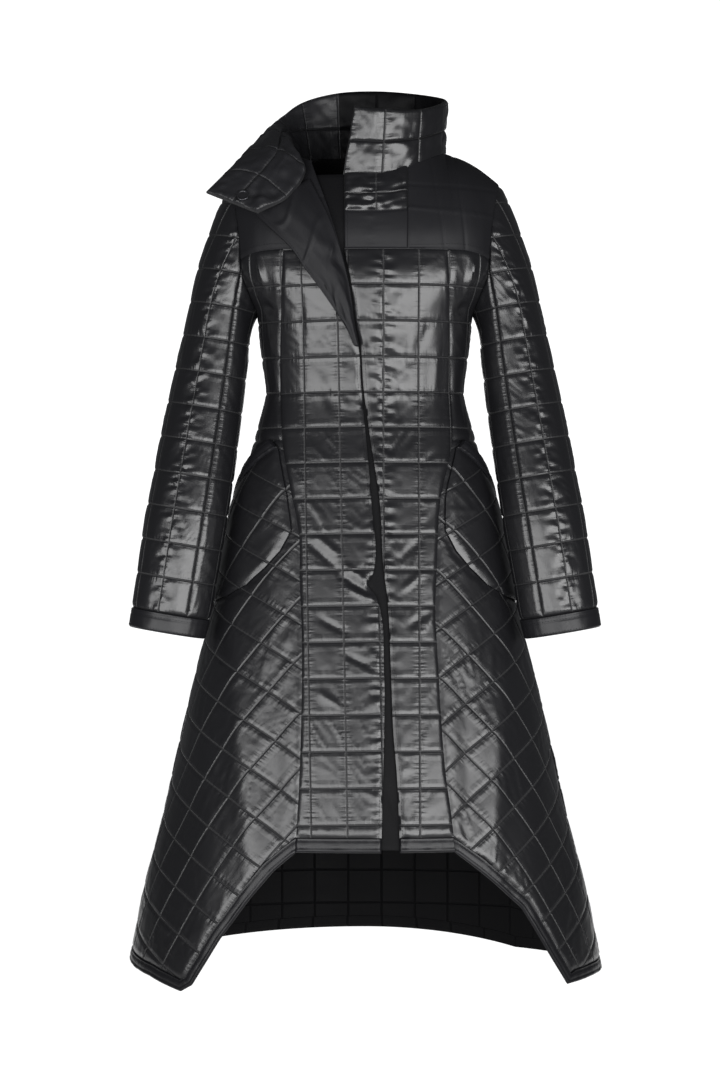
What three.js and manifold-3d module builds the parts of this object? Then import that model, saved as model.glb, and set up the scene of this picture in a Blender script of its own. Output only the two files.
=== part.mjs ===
// Long quilted puffer coat with a handkerchief hem, filled out with no wearer.
// Millimetres, +Z up. The front faces -Y and the wearer's right side lies at -X.
// The origin is at the base of the neck, level with the front of the neckline.
import * as THREE from "three";
import { mergeVertices } from "three/addons/utils/BufferGeometryUtils.js";
import Module from "manifold-3d";

const wasm = await Module();
wasm.setup();

// Quilting and cloth
const CELL = 50; // side of one quilted square
const SLEEVE_CELL = 49; // length of one quilted square along the sleeve
const STITCH = 2.4; // thickness of the padded wall on a stitched line
const PUFF = 5; // thickness of the padded wall inside a square
const INSET = 0.3; // share of a square that its slopes take on each side
const FADE = 13; // distance from an edge over which the padding dies away
const CLEAR = 24; // how far round a pocket the panel under it stays flat
const SEAM = 0.3; // what each piece keeps back from a seam line
const CURVED_SEAM = 1.15; // the same on the seams that bend most: back seams and sleeve seams
const BAND = 4.2; // thickness of a hem band
const FACING = 2.2; // thickness of plain cloth: yokes, lapel and underlap
const LAP_GAP = 2.2; // distance between the underlap and the fronts over it

// Levels
const YOKE_Z = -124; // yoke seam at the centre
const YOKE_DROP = 23; // how far the yoke seam would fall by the side; it bends down near the armhole
const SKIRT_Z = -392; // seam between side panels and skirt panels
const FRONT_BAND_Z = -941; // top of the front hem band
const FRONT_HEM_Z = -961; // front hem
const BACK_BAND_Z = -1094; // top of the back hem band
const BACK_HEM_Z = -1111; // back hem
const SKIRT_BAND = 17; // width of the band round the skirt panels' hem
const BACK_DROP = { right: 10, left: 24 }; // how much lower the back hem is at its ends than in the middle
const BACK_HALF = 235; // half the length of the back hem

// The body's inside, as rings: half width, depth in front of and behind the middle, squareness
const BODY = [
  { z: -90, half: 195, front: 109, back: 108, square: 2.5 },
  { z: -131, half: 189, front: 113, back: 111, square: 2.4 },
  { z: -160, half: 181, front: 116, back: 110, square: 2.35 },
  { z: -185, half: 165, front: 117, back: 108, square: 2.3 },
  { z: -205, half: 152, front: 116, back: 106, square: 2.3 },
  { z: -225, half: 149, front: 113, back: 103, square: 2.25 },
  { z: -273, half: 143.5, front: 103, back: 95, square: 2.2 },
  { z: -323, half: 138, front: 94, back: 90, square: 2.2 },
  { z: -375, half: 150.5, front: 100, back: 102, square: 2.2 },
  { z: -432, half: 166, front: 113, back: 120, square: 2.2 },
  { z: -480, half: 182.5, front: 121, back: 130, square: 2.15 },
  { z: -542, half: 195.5, front: 133, back: 142, square: 2.1 },
  { z: -603, half: 209, front: 144, back: 153, square: 2.1 },
  { z: -671, half: 225, front: 157, back: 166, square: 2.1 },
  { z: -736, half: 242, front: 169, back: 178, square: 2.1 },
  { z: -799, half: 257, front: 181, back: 190, square: 2.1 },
  { z: -867, half: 272.5, front: 193, back: 203, square: 2.05 },
  { z: -932, half: 287, front: 204, back: 214, square: 2.05 },
  { z: -1022, half: 310.5, front: 219, back: 229, square: 2 },
  { z: -1105, half: 327.5, front: 232, back: 242, square: 2 },
  { z: -1175, half: 341, front: 242, back: 252, square: 2 },
];

// Seams of the two fronts, as distances from the centre line: the wearer's right is negative
const RIGHT_SEAM = [
  { z: -124, x: -115.5 },
  { z: -392, x: -115.5 },
  { z: -470, x: -102 },
  { z: -520, x: -92 },
  { z: -587, x: -90.5 },
  { z: -652, x: -87.5 },
  { z: -720, x: -87 },
  { z: -790, x: -88 },
  { z: -879, x: -91 },
  { z: -962, x: -96 },
];
const LEFT_SEAM = [
  { z: -124, x: 116.5 },
  { z: -323, x: 120.5 },
  { z: -393, x: 122 },
  { z: -475, x: 105 },
  { z: -574, x: 99.5 },
  { z: -633, x: 97 },
  { z: -676, x: 99.5 },
  { z: -765, x: 104 },
  { z: -853, x: 110.5 },
  { z: -911, x: 118.5 },
  { z: -962, x: 124 },
];
// Free edge of the wearer's right front, which lies over the left one; its top is the lapel's roll line
const RIGHT_EDGE = [
  { z: -27, x: -75 },
  { z: -76, x: -52 },
  { z: -120, x: -36 },
  { z: -175, x: -22.5 },
  { z: -232, x: -15.3 },
  { z: -264, x: -9 },
  { z: -316, x: -5.6 },
  { z: -477, x: 8.4 },
  { z: -574, x: 11 },
  { z: -611, x: 15.2 },
  { z: -718, x: 26 },
  { z: -796, x: 26 },
  { z: -915, x: 23 },
  { z: -961, x: 22 },
];
// Quilted edge of the wearer's left front, which shows beside it
const LEFT_EDGE = [
  { z: -8, x: -29 },
  { z: -124, x: -29 },
  { z: -148, x: -24 },
  { z: -175, x: -18.5 },
  { z: -204, x: -15 },
  { z: -232, x: -11.5 },
  { z: -264, x: -5.5 },
  { z: -316, x: -2 },
  { z: -393, x: 8 },
  { z: -477, x: 20.5 },
  { z: -574, x: 26 },
  { z: -611, x: 31 },
  { z: -718, x: 36 },
  { z: -796, x: 39 },
  { z: -860, x: 44 },
  { z: -961, x: 48 },
];
// Back seams, as distances round the body from the centre back
const BACK_SEAM = [
  { z: -124, arc: 128 },
  { z: -205, arc: 116 },
  { z: -323, arc: 88 },
  { z: -392, arc: 100 },
  { z: -480, arc: 118 },
  { z: -700, arc: 160 },
  { z: -960, arc: 208 },
  { z: -1111, arc: 235 },
];
// Lower half of the armhole, as an angle round the body from the centre front or the centre back
const ARMHOLE = [
  { z: -136, angle: 67 },
  { z: -145, angle: 68 },
  { z: -162, angle: 70.5 },
  { z: -180, angle: 74.5 },
  { z: -194, angle: 80 },
  { z: -203, angle: 85.5 },
  { z: -206, angle: 90 },
];
// Skirt panel's lower edge, by share of its width from the front seam to the back seam
const SKIRT_HEM = {
  right: [
    { share: 0, z: -962 },
    { share: 0.06, z: -987 },
    { share: 0.13, z: -1031 },
    { share: 0.2, z: -1082 },
    { share: 0.245, z: -1124 },
    { share: 0.268, z: -1147 },
    { share: 0.3, z: -1157 },
    { share: 0.42, z: -1142 },
    { share: 0.6, z: -1129 },
    { share: 0.8, z: -1122 },
    { share: 1, z: -1121 },
  ],
  left: [
    { share: 0, z: -962 },
    { share: 0.06, z: -983 },
    { share: 0.13, z: -1011 },
    { share: 0.2, z: -1041 },
    { share: 0.265, z: -1094 },
    { share: 0.3, z: -1124 },
    { share: 0.33, z: -1150 },
    { share: 0.45, z: -1145 },
    { share: 0.6, z: -1142 },
    { share: 0.8, z: -1138 },
    { share: 1, z: -1135 },
  ],
};
// Pocket pouch, clockwise from the front end of its mouth, in the same shares
const POCKET = [
  { share: 0.03, z: -404 },
  { share: 0.25, z: -428 },
  { share: 0.48, z: -461 },
  { share: 0.66, z: -492 },
  { share: 0.685, z: -540 },
  { share: 0.66, z: -585 },
  { share: 0.6, z: -613 },
  { share: 0.5, z: -621 },
  { share: 0.36, z: -612 },
  { share: 0.25, z: -596 },
  { share: 0.16, z: -572 },
  { share: 0.09, z: -548 },
  { share: 0.035, z: -520 },
  { share: 0.024, z: -470 },
];
const POCKET_MOUTH = 4; // how many of its points lie on the mouth
const MOUTH_BAND = 15; // width of the band above the mouth
const MOUTH_CLOTH = BAND + 2; // its thickness
const POCKET_STAND = 4.8; // how far the pouch lies outside the skirt panel's inside

// Sleeve: distance of its middle from the centre, shift to the front, and half sizes, by level
const SLEEVE = [
  { z: -24, x: 177, y: 6, wide: 44, deep: 60 },
  { z: -111, x: 189.5, y: 6, wide: 40.5, deep: 60 },
  { z: -199, x: 205, y: 2, wide: 42, deep: 59 },
  { z: -303, x: 221, y: -12, wide: 48, deep: 58 },
  { z: -397, x: 236, y: -32, wide: 52, deep: 56 },
  { z: -450, x: 244, y: -45, wide: 53, deep: 55 },
  { z: -505, x: 253, y: -57, wide: 54, deep: 53 },
  { z: -576, x: 264, y: -66, wide: 53, deep: 50 },
  { z: -635, x: 273.5, y: -72, wide: 52, deep: 47 },
  { z: -670, x: 280, y: -75, wide: 50, deep: 45 },
];
const LEAN = (9.4 * Math.PI) / 180; // lean of the sleeve from upright
const SHOULDER_Z = -24; // level where sleeve lengths start
const SLEEVE_LENGTH = 619; // down to the cuff seam
const CUFF_LENGTH = 28;
const CAP_BLEND = { top: 150, foot: 45 }; // length over which the sleeve takes its own form
const CAP_STAND = { top: 0.8, side: 3.6, foot: 6 }; // how far its edge lies outside the armhole
const SLEEVE_TURN = 16.6; // first quilted line, in degrees from the front outwards
const COLUMN = 45; // degrees round the sleeve for one quilted column
const FLAT_RADIUS = 58; // radius that turns degrees round the sleeve into flat cloth
const OFF_LINE = { x: 0.11, y: 0.23 }; // keeps the quilted lines off the sleeve's edges

// Neck and shoulders
const NECK = { half: 111.5, front: 88, back: 88, middle: 8, low: -8.5, high: 19, rear: 23 };
const NECK_ANGLE = 38; // degrees round the body where the yoke meets the side of the neck
const ARM_ANGLE = 67; // degrees round the body where the yoke meets the armhole
const TIP = new THREE.Vector3(191, 8, -27); // shoulder tip
const SHOULDER_ARCH = 6; // how far the shoulder line arches up between neck and tip
const YOKE_CLOTH = FACING + 0.6; // thickness of the yokes

// Collar, from the wearer's left front round the back to the flipped right end
const COLLAR = [
  { bx: -29, by: -82, bz: -7, tx: -15, ty: -86, tz: 78 },
  { bx: 24, by: -81, bz: -7, tx: 28, ty: -86, tz: 74 },
  { bx: 72, by: -58, bz: 4, tx: 76, ty: -62, tz: 76 },
  { bx: 104, by: -16, bz: 18, tx: 109, ty: -18, tz: 90 },
  { bx: 106, by: 36, bz: 24, tx: 110, ty: 38, tz: 104 },
  { bx: 72, by: 81, bz: 26, tx: 74, ty: 84, tz: 116 },
  { bx: 18, by: 99, bz: 27, tx: 18, ty: 99, tz: 122 },
  { bx: -37, by: 96, bz: 27, tx: -40, ty: 98, tz: 119 },
  { bx: -82, by: 72, bz: 28, tx: -92, ty: 92, tz: 104 },
  { bx: -103, by: 30, bz: 30, tx: -127, ty: 66, tz: 74 },
  { bx: -103, by: -27, bz: 28, tx: -148, ty: 22, tz: 48 },
  { bx: -92, by: -73, bz: -3, tx: -172, ty: -30, tz: 16 },
  { bx: -118, by: -98, bz: -43, tx: -197, ty: -64, tz: -14 },
  { bx: -158, by: -114, bz: -71, tx: -223, ty: -88, tz: -43 },
];
const COLLAR_ROLL = 14; // how far the flipped part arches up between its edges
const ROLL_START = { from: 7, full: 11 }; // rows of the table between which the arch grows
const ROLL_END = 11.5; // row from which it dies away to the flat end
const COLLAR_PUFF = 3.4; // padding on each face of the collar

// Lapel: roll line and outer edge, from the break upwards
const LAPEL = [
  { rz: -262, rx: -9.5, oz: -261, ox: -14 },
  { rz: -232, rx: -15.3, oz: -236, ox: -26 },
  { rz: -204, rx: -18.5, oz: -212, ox: -41.5 },
  { rz: -175, rx: -22.5, oz: -178, ox: -65 },
  { rz: -148, rx: -28.5, oz: -152, ox: -84.5 },
  { rz: -120, rx: -36, oz: -124, ox: -103.5 },
  { rz: -76, rx: -52, oz: -94, ox: -134 },
  { rz: -24, rx: -78, oz: -72, ox: -156 },
];
const LAPEL_ROOT = 3; // distance of the lapel from the cloth under it at the roll line
const LAPEL_RISE = 3; // what the yoke's slope adds to it
const LAPEL_STAND = 11; // the same further out
const LAPEL_ARCH = 7;

const SNAP = { radius: 9, height: 3.2, column: 12.72, row: 0.7, gap: 0.3 };

const SNAP_PARTS = 24; // sides of its round

// Materials
const finish = (color, roughness, metalness = 0) =>
  new THREE.MeshStandardMaterial({ color, roughness, metalness });
const SHELL = finish(0x111214, 0.28);
const MATTE = finish(0x1c1d20, 0.62);
const BANDING = finish(0x0e0f11, 0.35);
const METAL = finish(0x55565a, 0.3, 0.9);

const coat = new THREE.Group();
const V = (x, y, z) => new THREE.Vector3(x, y, z);
const clamp = (x, low, high) => Math.min(high, Math.max(low, x));
const mix = (a, b, t) => a + (b - a) * t;
const smooth = (t) => {
  const u = clamp(t, 0, 1);
  return u * u * (3 - 2 * u);
};
const radians = (degrees) => (degrees * Math.PI) / 180;

// Smooth value of one column of a table at a value of its key column
function sample(rows, key, at, column) {
  const last = rows.length - 1;
  const down = rows[0][key] > rows[last][key];
  let k = 0;
  while (k < last - 1 && (down ? rows[k + 1][key] > at : rows[k + 1][key] < at)) k += 1;
  const slope = (i) => (rows[i + 1][column] - rows[i][column]) / (rows[i + 1][key] - rows[i][key]);
  const step = rows[k + 1][key] - rows[k][key];
  const t = clamp((at - rows[k][key]) / step, 0, 1);
  const here = slope(k);
  const start = k > 0 ? (slope(k - 1) + here) / 2 : here;
  const end = k < last - 1 ? (here + slope(k + 1)) / 2 : here;
  const rise = rows[k + 1][column] - rows[k][column];
  const a = start * step - rise;
  const b = rise - end * step;
  return rows[k][column] + rise * t + t * (1 - t) * (a * (1 - t) + b * t);
}

// Point of the body's inside at a level and an angle: 0 at centre front, positive to the wearer's left
function ringPoint(z, angle) {
  const power = 2 / sample(BODY, "z", z, "square");
  const s = Math.sin(angle);
  const c = Math.cos(angle);
  const depth = sample(BODY, "z", z, c > 0 ? "front" : "back");
  const x = sample(BODY, "z", z, "half") * Math.sign(s) * Math.abs(s) ** power;
  return V(x, -Math.sign(c) * depth * Math.abs(c) ** power, z);
}

// Lengths round each ring from the centre front, for rings a few millimetres apart
const RING_STEP = 6;
const RING_PARTS = 90;
const RING_TOP = -90;
const rings = [];
for (let z = RING_TOP; z > -1200; z -= RING_STEP) {
  const lengths = [0];
  let last = ringPoint(z, 0);
  for (let i = 1; i <= RING_PARTS; i += 1) {
    const next = ringPoint(z, (Math.PI * i) / RING_PARTS);
    lengths.push(lengths[i - 1] + next.distanceTo(last));
    last = next;
  }
  rings.push(lengths);
}

function overRings(z, value) {
  const at = clamp((RING_TOP - z) / RING_STEP, 0, rings.length - 1.001);
  const k = Math.floor(at);
  return mix(value(rings[k]), value(rings[k + 1]), at - k);
}

function arcOf(z, angle) {
  const at = (Math.abs(angle) / Math.PI) * RING_PARTS;
  const k = Math.min(Math.floor(at), RING_PARTS - 1);
  return Math.sign(angle) * overRings(z, (ring) => mix(ring[k], ring[k + 1], at - k));
}

function angleOf(z, arc) {
  const size = Math.abs(arc);
  const part = (ring) => {
    let k = 0;
    while (k < RING_PARTS - 1 && ring[k + 1] < size) k += 1;
    return k + (size - ring[k]) / (ring[k + 1] - ring[k]);
  };
  return (Math.sign(arc) * overRings(z, part) * Math.PI) / RING_PARTS;
}

function angleOfX(z, x) {
  const ratio = clamp(Math.abs(x) / sample(BODY, "z", z, "half"), 0, 1);
  return Math.sign(x) * Math.asin(ratio ** (sample(BODY, "z", z, "square") / 2));
}

const arcOfX = (z, x) => arcOf(z, angleOfX(z, x));
const halfRing = (z) => arcOf(z, Math.PI);
const frontCloth = (arc, z) => ringPoint(z, angleOf(z, arc));
const backCloth = (arc, z) => ringPoint(z, angleOf(z, (arc < 0 ? -1 : 1) * (halfRing(z) - Math.abs(arc))));
const yokeLevel = (angle) => YOKE_Z - YOKE_DROP * Math.sin(angle) ** 8;

// Closed geometry from points and triangles
function geometryOf(points, faces) {
  const geometry = new THREE.BufferGeometry();
  const places = points.flatMap((p) => p.toArray());
  geometry.setAttribute("position", new THREE.Float32BufferAttribute(places, 3));
  geometry.setIndex(faces.flat());
  return geometry;
}

function solid(name, material, points, faces) {
  const mesh = new THREE.Mesh(geometryOf(points, faces), material);
  mesh.name = name;
  coat.add(mesh);
  return mesh;
}

// Outward normal of a surface given as a function of two numbers
const NEAR = 0.02; // how far to each side it looks
function normalOf(surface, i, j, side) {
  const d = NEAR;
  const along = surface(i + d, j).sub(surface(i - d, j));
  const across = surface(i, j + d).sub(surface(i, j - d));
  return along.cross(across).normalize().multiplyScalar(side);
}

// A wall of columns by rows over a surface; puff raises each square outside, lining inside
function wall(name, material, options) {
  const { columns, rows, surface, thick, puff = 0, lining = 0, side = 1 } = options;
  const points = [];
  const faces = [];
  const keep = (i, j) => {
    const d = NEAR;
    const across = surface(clamp(i + d, 0, columns), j).distanceTo(surface(clamp(i - d, 0, columns), j));
    const down = surface(i, clamp(j + d, 0, rows)).distanceTo(surface(i, clamp(j - d, 0, rows)));
    const gi = SEAM / Math.max(across / (2 * d), 1);
    const gj = SEAM / Math.max(down / (2 * d), 1);
    return [clamp(i, gi, columns - gi), clamp(j, gj, rows - gj)];
  };
  const place = (i, j, height) => {
    const [u, v] = keep(i, j);
    points.push(surface(u, v).addScaledVector(normalOf(surface, u, v, side), height));
    return points.length - 1;
  };
  const grid = (height) => {
    const out = [];
    for (let i = 0; i <= columns; i += 1) {
      out.push([]);
      for (let j = 0; j <= rows; j += 1) out[i].push(place(i, j, height));
    }
    return out;
  };
  const inner = grid(0);
  const outer = grid(thick);
  const quad = (a, b, c, d) => {
    const turned = side > 0 ? [a, b, c, d] : [d, c, b, a];
    faces.push([turned[0], turned[1], turned[2]], [turned[0], turned[2], turned[3]]);
  };
  for (let i = 0; i < columns; i += 1) {
    for (let j = 0; j < rows; j += 1) {
      const ring = [outer[i][j], outer[i + 1][j], outer[i + 1][j + 1], outer[i][j + 1]];
      if (puff > 0) {
        const top = [
          place(i + INSET, j + INSET, puff),
          place(i + 1 - INSET, j + INSET, puff),
          place(i + 1 - INSET, j + 1 - INSET, puff),
          place(i + INSET, j + 1 - INSET, puff),
        ];
        quad(...top);
        for (let k = 0; k < 4; k += 1) quad(ring[k], ring[(k + 1) % 4], top[(k + 1) % 4], top[k]);
      } else {
        quad(...ring);
      }
      const rim = [inner[i][j + 1], inner[i + 1][j + 1], inner[i + 1][j], inner[i][j]];
      if (lining > 0) {
        const low = [
          place(i + INSET, j + 1 - INSET, -lining),
          place(i + 1 - INSET, j + 1 - INSET, -lining),
          place(i + 1 - INSET, j + INSET, -lining),
          place(i + INSET, j + INSET, -lining),
        ];
        quad(...low);
        for (let k = 0; k < 4; k += 1) quad(rim[k], rim[(k + 1) % 4], low[(k + 1) % 4], low[k]);
      } else {
        quad(...rim);
      }
    }
  }
  for (let i = 0; i < columns; i += 1) {
    quad(inner[i][0], inner[i + 1][0], outer[i + 1][0], outer[i][0]);
    quad(inner[i + 1][rows], inner[i][rows], outer[i][rows], outer[i + 1][rows]);
  }
  for (let j = 0; j < rows; j += 1) {
    quad(inner[0][j + 1], inner[0][j], outer[0][j], outer[0][j + 1]);
    quad(inner[columns][j], inner[columns][j + 1], outer[columns][j + 1], outer[columns][j]);
  }
  return solid(name, material, points, faces);
}

// Distance from a flat point to a closed outline
function distanceTo(outline, x, y) {
  let best = Infinity;
  outline.forEach((a, k) => {
    const b = outline[(k + 1) % outline.length];
    const [dx, dy] = [b.x - a.x, b.y - a.y];
    const t = clamp(((x - a.x) * dx + (y - a.y) * dy) / (dx * dx + dy * dy), 0, 1);
    best = Math.min(best, Math.hypot(x - a.x - t * dx, y - a.y - t * dy));
  });
  return best;
}

function inside(outline, x, y) {
  let odd = false;
  outline.forEach((a, k) => {
    const b = outline[(k + 1) % outline.length];
    if (a.y > y !== b.y > y && x < a.x + ((y - a.y) / (b.y - a.y)) * (b.x - a.x)) odd = !odd;
  });
  return odd;
}

function manifoldOf(geometry) {
  const bare = geometry.clone();
  bare.deleteAttribute("normal");
  bare.deleteAttribute("uv");
  const merged = mergeVertices(bare, 1e-4);
  const mesh = new wasm.Mesh({
    numProp: 3,
    vertProperties: new Float32Array(merged.attributes.position.array),
    triVerts: new Uint32Array(merged.index.array),
  });
  return new wasm.Manifold(mesh);
}

// A flat sheet of quilted squares that covers a box, with its squares turned and shifted
function quiltSheet(outline, { cellX, cellY, turn, origin }) {
  const c = Math.cos(turn);
  const s = Math.sin(turn);
  const toGrid = (p) => [
    ((p.x - origin.x) * c + (p.y - origin.y) * s) / cellX,
    ((p.y - origin.y) * c - (p.x - origin.x) * s) / cellY,
  ];
  const fromGrid = (i, j, h) =>
    V(origin.x + i * cellX * c - j * cellY * s, origin.y + i * cellX * s + j * cellY * c, h);
  const spots = outline.map(toGrid);
  const low = [0, 1].map((k) => Math.floor(Math.min(...spots.map((p) => p[k])) - 0.01));
  const high = [0, 1].map((k) => Math.ceil(Math.max(...spots.map((p) => p[k])) + 0.01));
  const [columns, rows] = [high[0] - low[0], high[1] - low[1]];
  const points = [];
  const faces = [];
  const add = (i, j, h) => points.push(fromGrid(low[0] + i, low[1] + j, h)) - 1;
  const upTo = (count) => Array.from({ length: count + 1 }, (_, k) => k);
  const grid = (h) => upTo(columns).map((i) => upTo(rows).map((j) => add(i, j, h)));
  const inner = grid(0);
  const outer = grid(STITCH);
  const quad = (a, b, d, e) => faces.push([a, b, d], [a, d, e]);
  for (let i = 0; i < columns; i += 1) {
    for (let j = 0; j < rows; j += 1) {
      const ring = [outer[i][j], outer[i + 1][j], outer[i + 1][j + 1], outer[i][j + 1]];
      const rim = [inner[i][j + 1], inner[i + 1][j + 1], inner[i + 1][j], inner[i][j]];
      const crown = add(i + 0.5, j + 0.5, PUFF);
      const floor = add(i + 0.5, j + 0.5, 0);
      for (let k = 0; k < 4; k += 1) {
        faces.push([ring[k], ring[(k + 1) % 4], crown]);
        faces.push([rim[k], rim[(k + 1) % 4], floor]);
      }
    }
  }
  for (let i = 0; i < columns; i += 1) {
    quad(inner[i][0], inner[i + 1][0], outer[i + 1][0], outer[i][0]);
    quad(inner[i + 1][rows], inner[i][rows], outer[i][rows], outer[i + 1][rows]);
  }
  for (let j = 0; j < rows; j += 1) {
    quad(inner[0][j + 1], inner[0][j], outer[0][j], outer[0][j + 1]);
    quad(inner[columns][j], inner[columns][j + 1], outer[columns][j + 1], outer[columns][j]);
  }
  return manifoldOf(geometryOf(points, faces));
}

// A quilted panel: the flat sheet is cut to the outline and laid on its surface
function quilted(name, outline, quilt, surface, options = {}) {
  const { side = 1, stand = 0, under = null } = options;
  const shape = new THREE.Shape(outline);
  const prism = new THREE.ExtrudeGeometry(shape, { depth: 4 * PUFF, bevelEnabled: false });
  prism.translate(0, 0, -2 * PUFF);
  const cut = quiltSheet(outline, quilt).intersect(manifoldOf(prism)).getMesh();
  const points = [];
  for (let k = 0; k < cut.numVert; k += 1) {
    const [x, y, h] = cut.vertProperties.subarray(k * cut.numProp, k * cut.numProp + 3);
    let height = h;
    if (h > STITCH) {
      let share = smooth(distanceTo(outline, x, y) / FADE);
      if (under && (inside(under, x, y) || distanceTo(under, x, y) < CLEAR)) share = 0;
      height = STITCH + (h - STITCH) * share;
    }
    points.push(surface(x, y).addScaledVector(normalOf(surface, x, y, side), height + stand));
  }
  const faces = [];
  for (let k = 0; k < cut.triVerts.length; k += 3) {
    const [a, b, c] = cut.triVerts.subarray(k, k + 3);
    faces.push(side > 0 ? [a, b, c] : [a, c, b]);
  }
  return solid(name, SHELL, points, faces);
}

// Levels from the top of an edge to its foot; those between are the same on each seam
const LEVEL_STEP = 25;
const LEVEL_LEAST = 5; // least distance between the first two and the last two
function levels(top, foot) {
  const list = [top];
  const first = Math.floor((top - LEVEL_LEAST) / LEVEL_STEP) * LEVEL_STEP;
  for (let z = first; z > foot + LEVEL_LEAST; z -= LEVEL_STEP) list.push(z);
  return [...list, foot];
}

const P2 = (x, y) => new THREE.Vector2(x, y);

// Lattice of each upright panel: a corner of its squares, and the right front's slight turn
const ROW_START = YOKE_Z - 0.37;
const CORNER = { right: -40.3, left: 25.6, side: 170.4, back: 25.3 };
const RIGHT_TURN = 0.02;

// Fronts
const seamOf = { right: RIGHT_SEAM, left: LEFT_SEAM };
const seamArc = (side, z) => arcOfX(z, sample(seamOf[side], "z", z, "x"));
const edgeArc = (table, z) => arcOfX(z, sample(table, "z", z, "x"));

function front(side) {
  const table = side === "right" ? RIGHT_EDGE : LEFT_EDGE;
  const out = side === "right" ? -1 : 1;
  const steps = levels(YOKE_Z - SEAM, FRONT_BAND_Z + SEAM);
  const edge = steps.map((z) => P2(edgeArc(table, z) + out * SEAM, z));
  const seam = steps.map((z) => P2(seamArc(side, z) - out * SEAM, z));
  const outline = side === "right" ? [...seam, ...edge.reverse()] : [...edge, ...seam.reverse()];
  const quilt = {
    cellX: CELL,
    cellY: CELL,
    turn: side === "right" ? RIGHT_TURN : 0,
    origin: P2(CORNER[side], ROW_START),
  };
  quilted("front_" + side, outline, quilt, frontCloth);
  wall("hem_front_" + side, BANDING, {
    columns: 4,
    rows: 1,
    thick: BAND,
    surface: (i, j) => {
      const z = mix(FRONT_HEM_Z, FRONT_BAND_Z, j);
      const from = side === "right" ? seamArc(side, z) : edgeArc(table, z);
      const to = side === "right" ? edgeArc(table, z) : seamArc(side, z);
      return frontCloth(mix(from, to, i / 4), z);
    },
  });
}

// Plain strip behind the closure, sewn to the left front's edge and up to the neck
const LAP_OUT = 46;
const LAP_IN = 12;
const LAP_TOP = -16;
const LAP_FOOT = FRONT_HEM_Z + 4;
function underlap() {
  const steps = levels(LAP_TOP, LAP_FOOT);
  const cloth = (i, j) => {
    const k = clamp(Math.floor(j), 0, steps.length - 2);
    const z = mix(steps[k], steps[k + 1], j - k);
    const x = sample(LEFT_EDGE, "z", z, "x") + mix(LAP_IN, -LAP_OUT, i / 3);
    return V(x, frontDepth(x, z), z);
  };
  wall("underlap", MATTE, {
    columns: 3,
    rows: steps.length - 1,
    thick: FACING,
    surface: (i, j) => cloth(i, j).addScaledVector(normalOf(cloth, i, j, 1), -FACING - LAP_GAP),
  });
}

// Side panels run from the front seam to the back seam, under the armhole
const TOP_ANGLES = [40, 47, 54, 61]; // where the panels' top edge follows the yoke seam
function armholeArcs(side) {
  const out = side === "right" ? -1 : 1;
  const top = TOP_ANGLES.map((angle) => ({ z: yokeLevel(radians(angle)) - SEAM, angle }));
  const edge = [...top, ...ARMHOLE];
  const front = edge.map(({ z, angle }) => P2(out * arcOf(z, radians(angle)), z - SEAM));
  const back = edge.map(({ z, angle }) => P2(out * arcOf(z, Math.PI - radians(angle)), z - SEAM));
  return [...front, ...back.slice(0, -1).reverse()];
}

const backArc = (z) => halfRing(z) - sample(BACK_SEAM, "z", z, "arc");

function sidePanel(side) {
  const out = side === "right" ? -1 : 1;
  const steps = levels(YOKE_Z - 1 - SEAM, SKIRT_Z + SEAM);
  const seam = steps.map((z) => P2(seamArc(side, z) + out * SEAM, z));
  const rear = steps.map((z) => P2(out * (backArc(z) - CURVED_SEAM), z));
  const outline = [...seam.reverse(), ...armholeArcs(side), ...rear];
  if (side === "right") outline.reverse();
  const quilt = { cellX: CELL, cellY: CELL, turn: 0, origin: P2(out * CORNER.side, ROW_START) };
  quilted("side_" + side, outline, quilt, frontCloth);
}

// Centre back
const backDrop = (share) => (share < 0 ? BACK_DROP.right : BACK_DROP.left) * share ** 2;

function back() {
  const edge = (side, out) =>
    levels(YOKE_Z - 1, BACK_BAND_Z + SEAM - BACK_DROP[side]).map((z) =>
      P2(out * (sample(BACK_SEAM, "z", z, "arc") - CURVED_SEAM), z),
    );
  const foot = Array.from({ length: 19 }, (_, k) => k / 10 - 0.9);
  const bottom = foot.map((share) => P2(share * BACK_HALF, BACK_BAND_Z + SEAM - backDrop(share)));
  const outline = [...edge("right", -1), ...bottom, ...edge("left", 1).reverse()];
  const quilt = { cellX: CELL, cellY: CELL, turn: 0, origin: P2(CORNER.back, ROW_START) };
  quilted("back", outline, quilt, backCloth, { side: -1 });
  wall("hem_back", BANDING, {
    columns: 20,
    rows: 1,
    thick: BAND,
    side: -1,
    surface: (i, j) => {
      const share = i / 10 - 1;
      const z = mix(BACK_HEM_Z, BACK_BAND_Z, j) - backDrop(share);
      return backCloth(sample(BACK_SEAM, "z", z, "arc") * share, z);
    },
  });
}

// Skirt panels are laid out flat as a sector, so that their squares lie on the bias
const SECTOR = 0.56; // angle of the sector in radians
const SECTOR_TOP = 250; // distance from its apex to the top seam
const SLANT = 1.04; // length of cloth for each millimetre of drop
const SEAM_FOOT = -962; // lowest level of the front seams
const FRONT_WIDTH_Z = -950; // levels at which the panel's width is taken at its front and back ends
const BACK_WIDTH_Z = -1100;
const HEM_STRETCH = 0.045; // longest stretch of the hem's line, as a share of the width
const TOP_PARTS = 8;
// Turn of its squares, and one of their corners, in the flat
const BIAS = {
  right: { cellX: CELL, cellY: CELL, turn: radians(22), origin: P2(7, -6.1) },
  left: { cellX: CELL, cellY: CELL, turn: radians(25), origin: P2(9.4, 6.1) },
};
function skirtFlat(share, z) {
  const reach = SECTOR_TOP + (SKIRT_Z - z) * SLANT;
  const turn = (share - 0.5) * SECTOR;
  return P2(reach * Math.sin(turn), -reach * Math.cos(turn));
}

const frontArc = (side, z) => Math.abs(seamArc(side, Math.max(z, SEAM_FOOT)));

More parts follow.
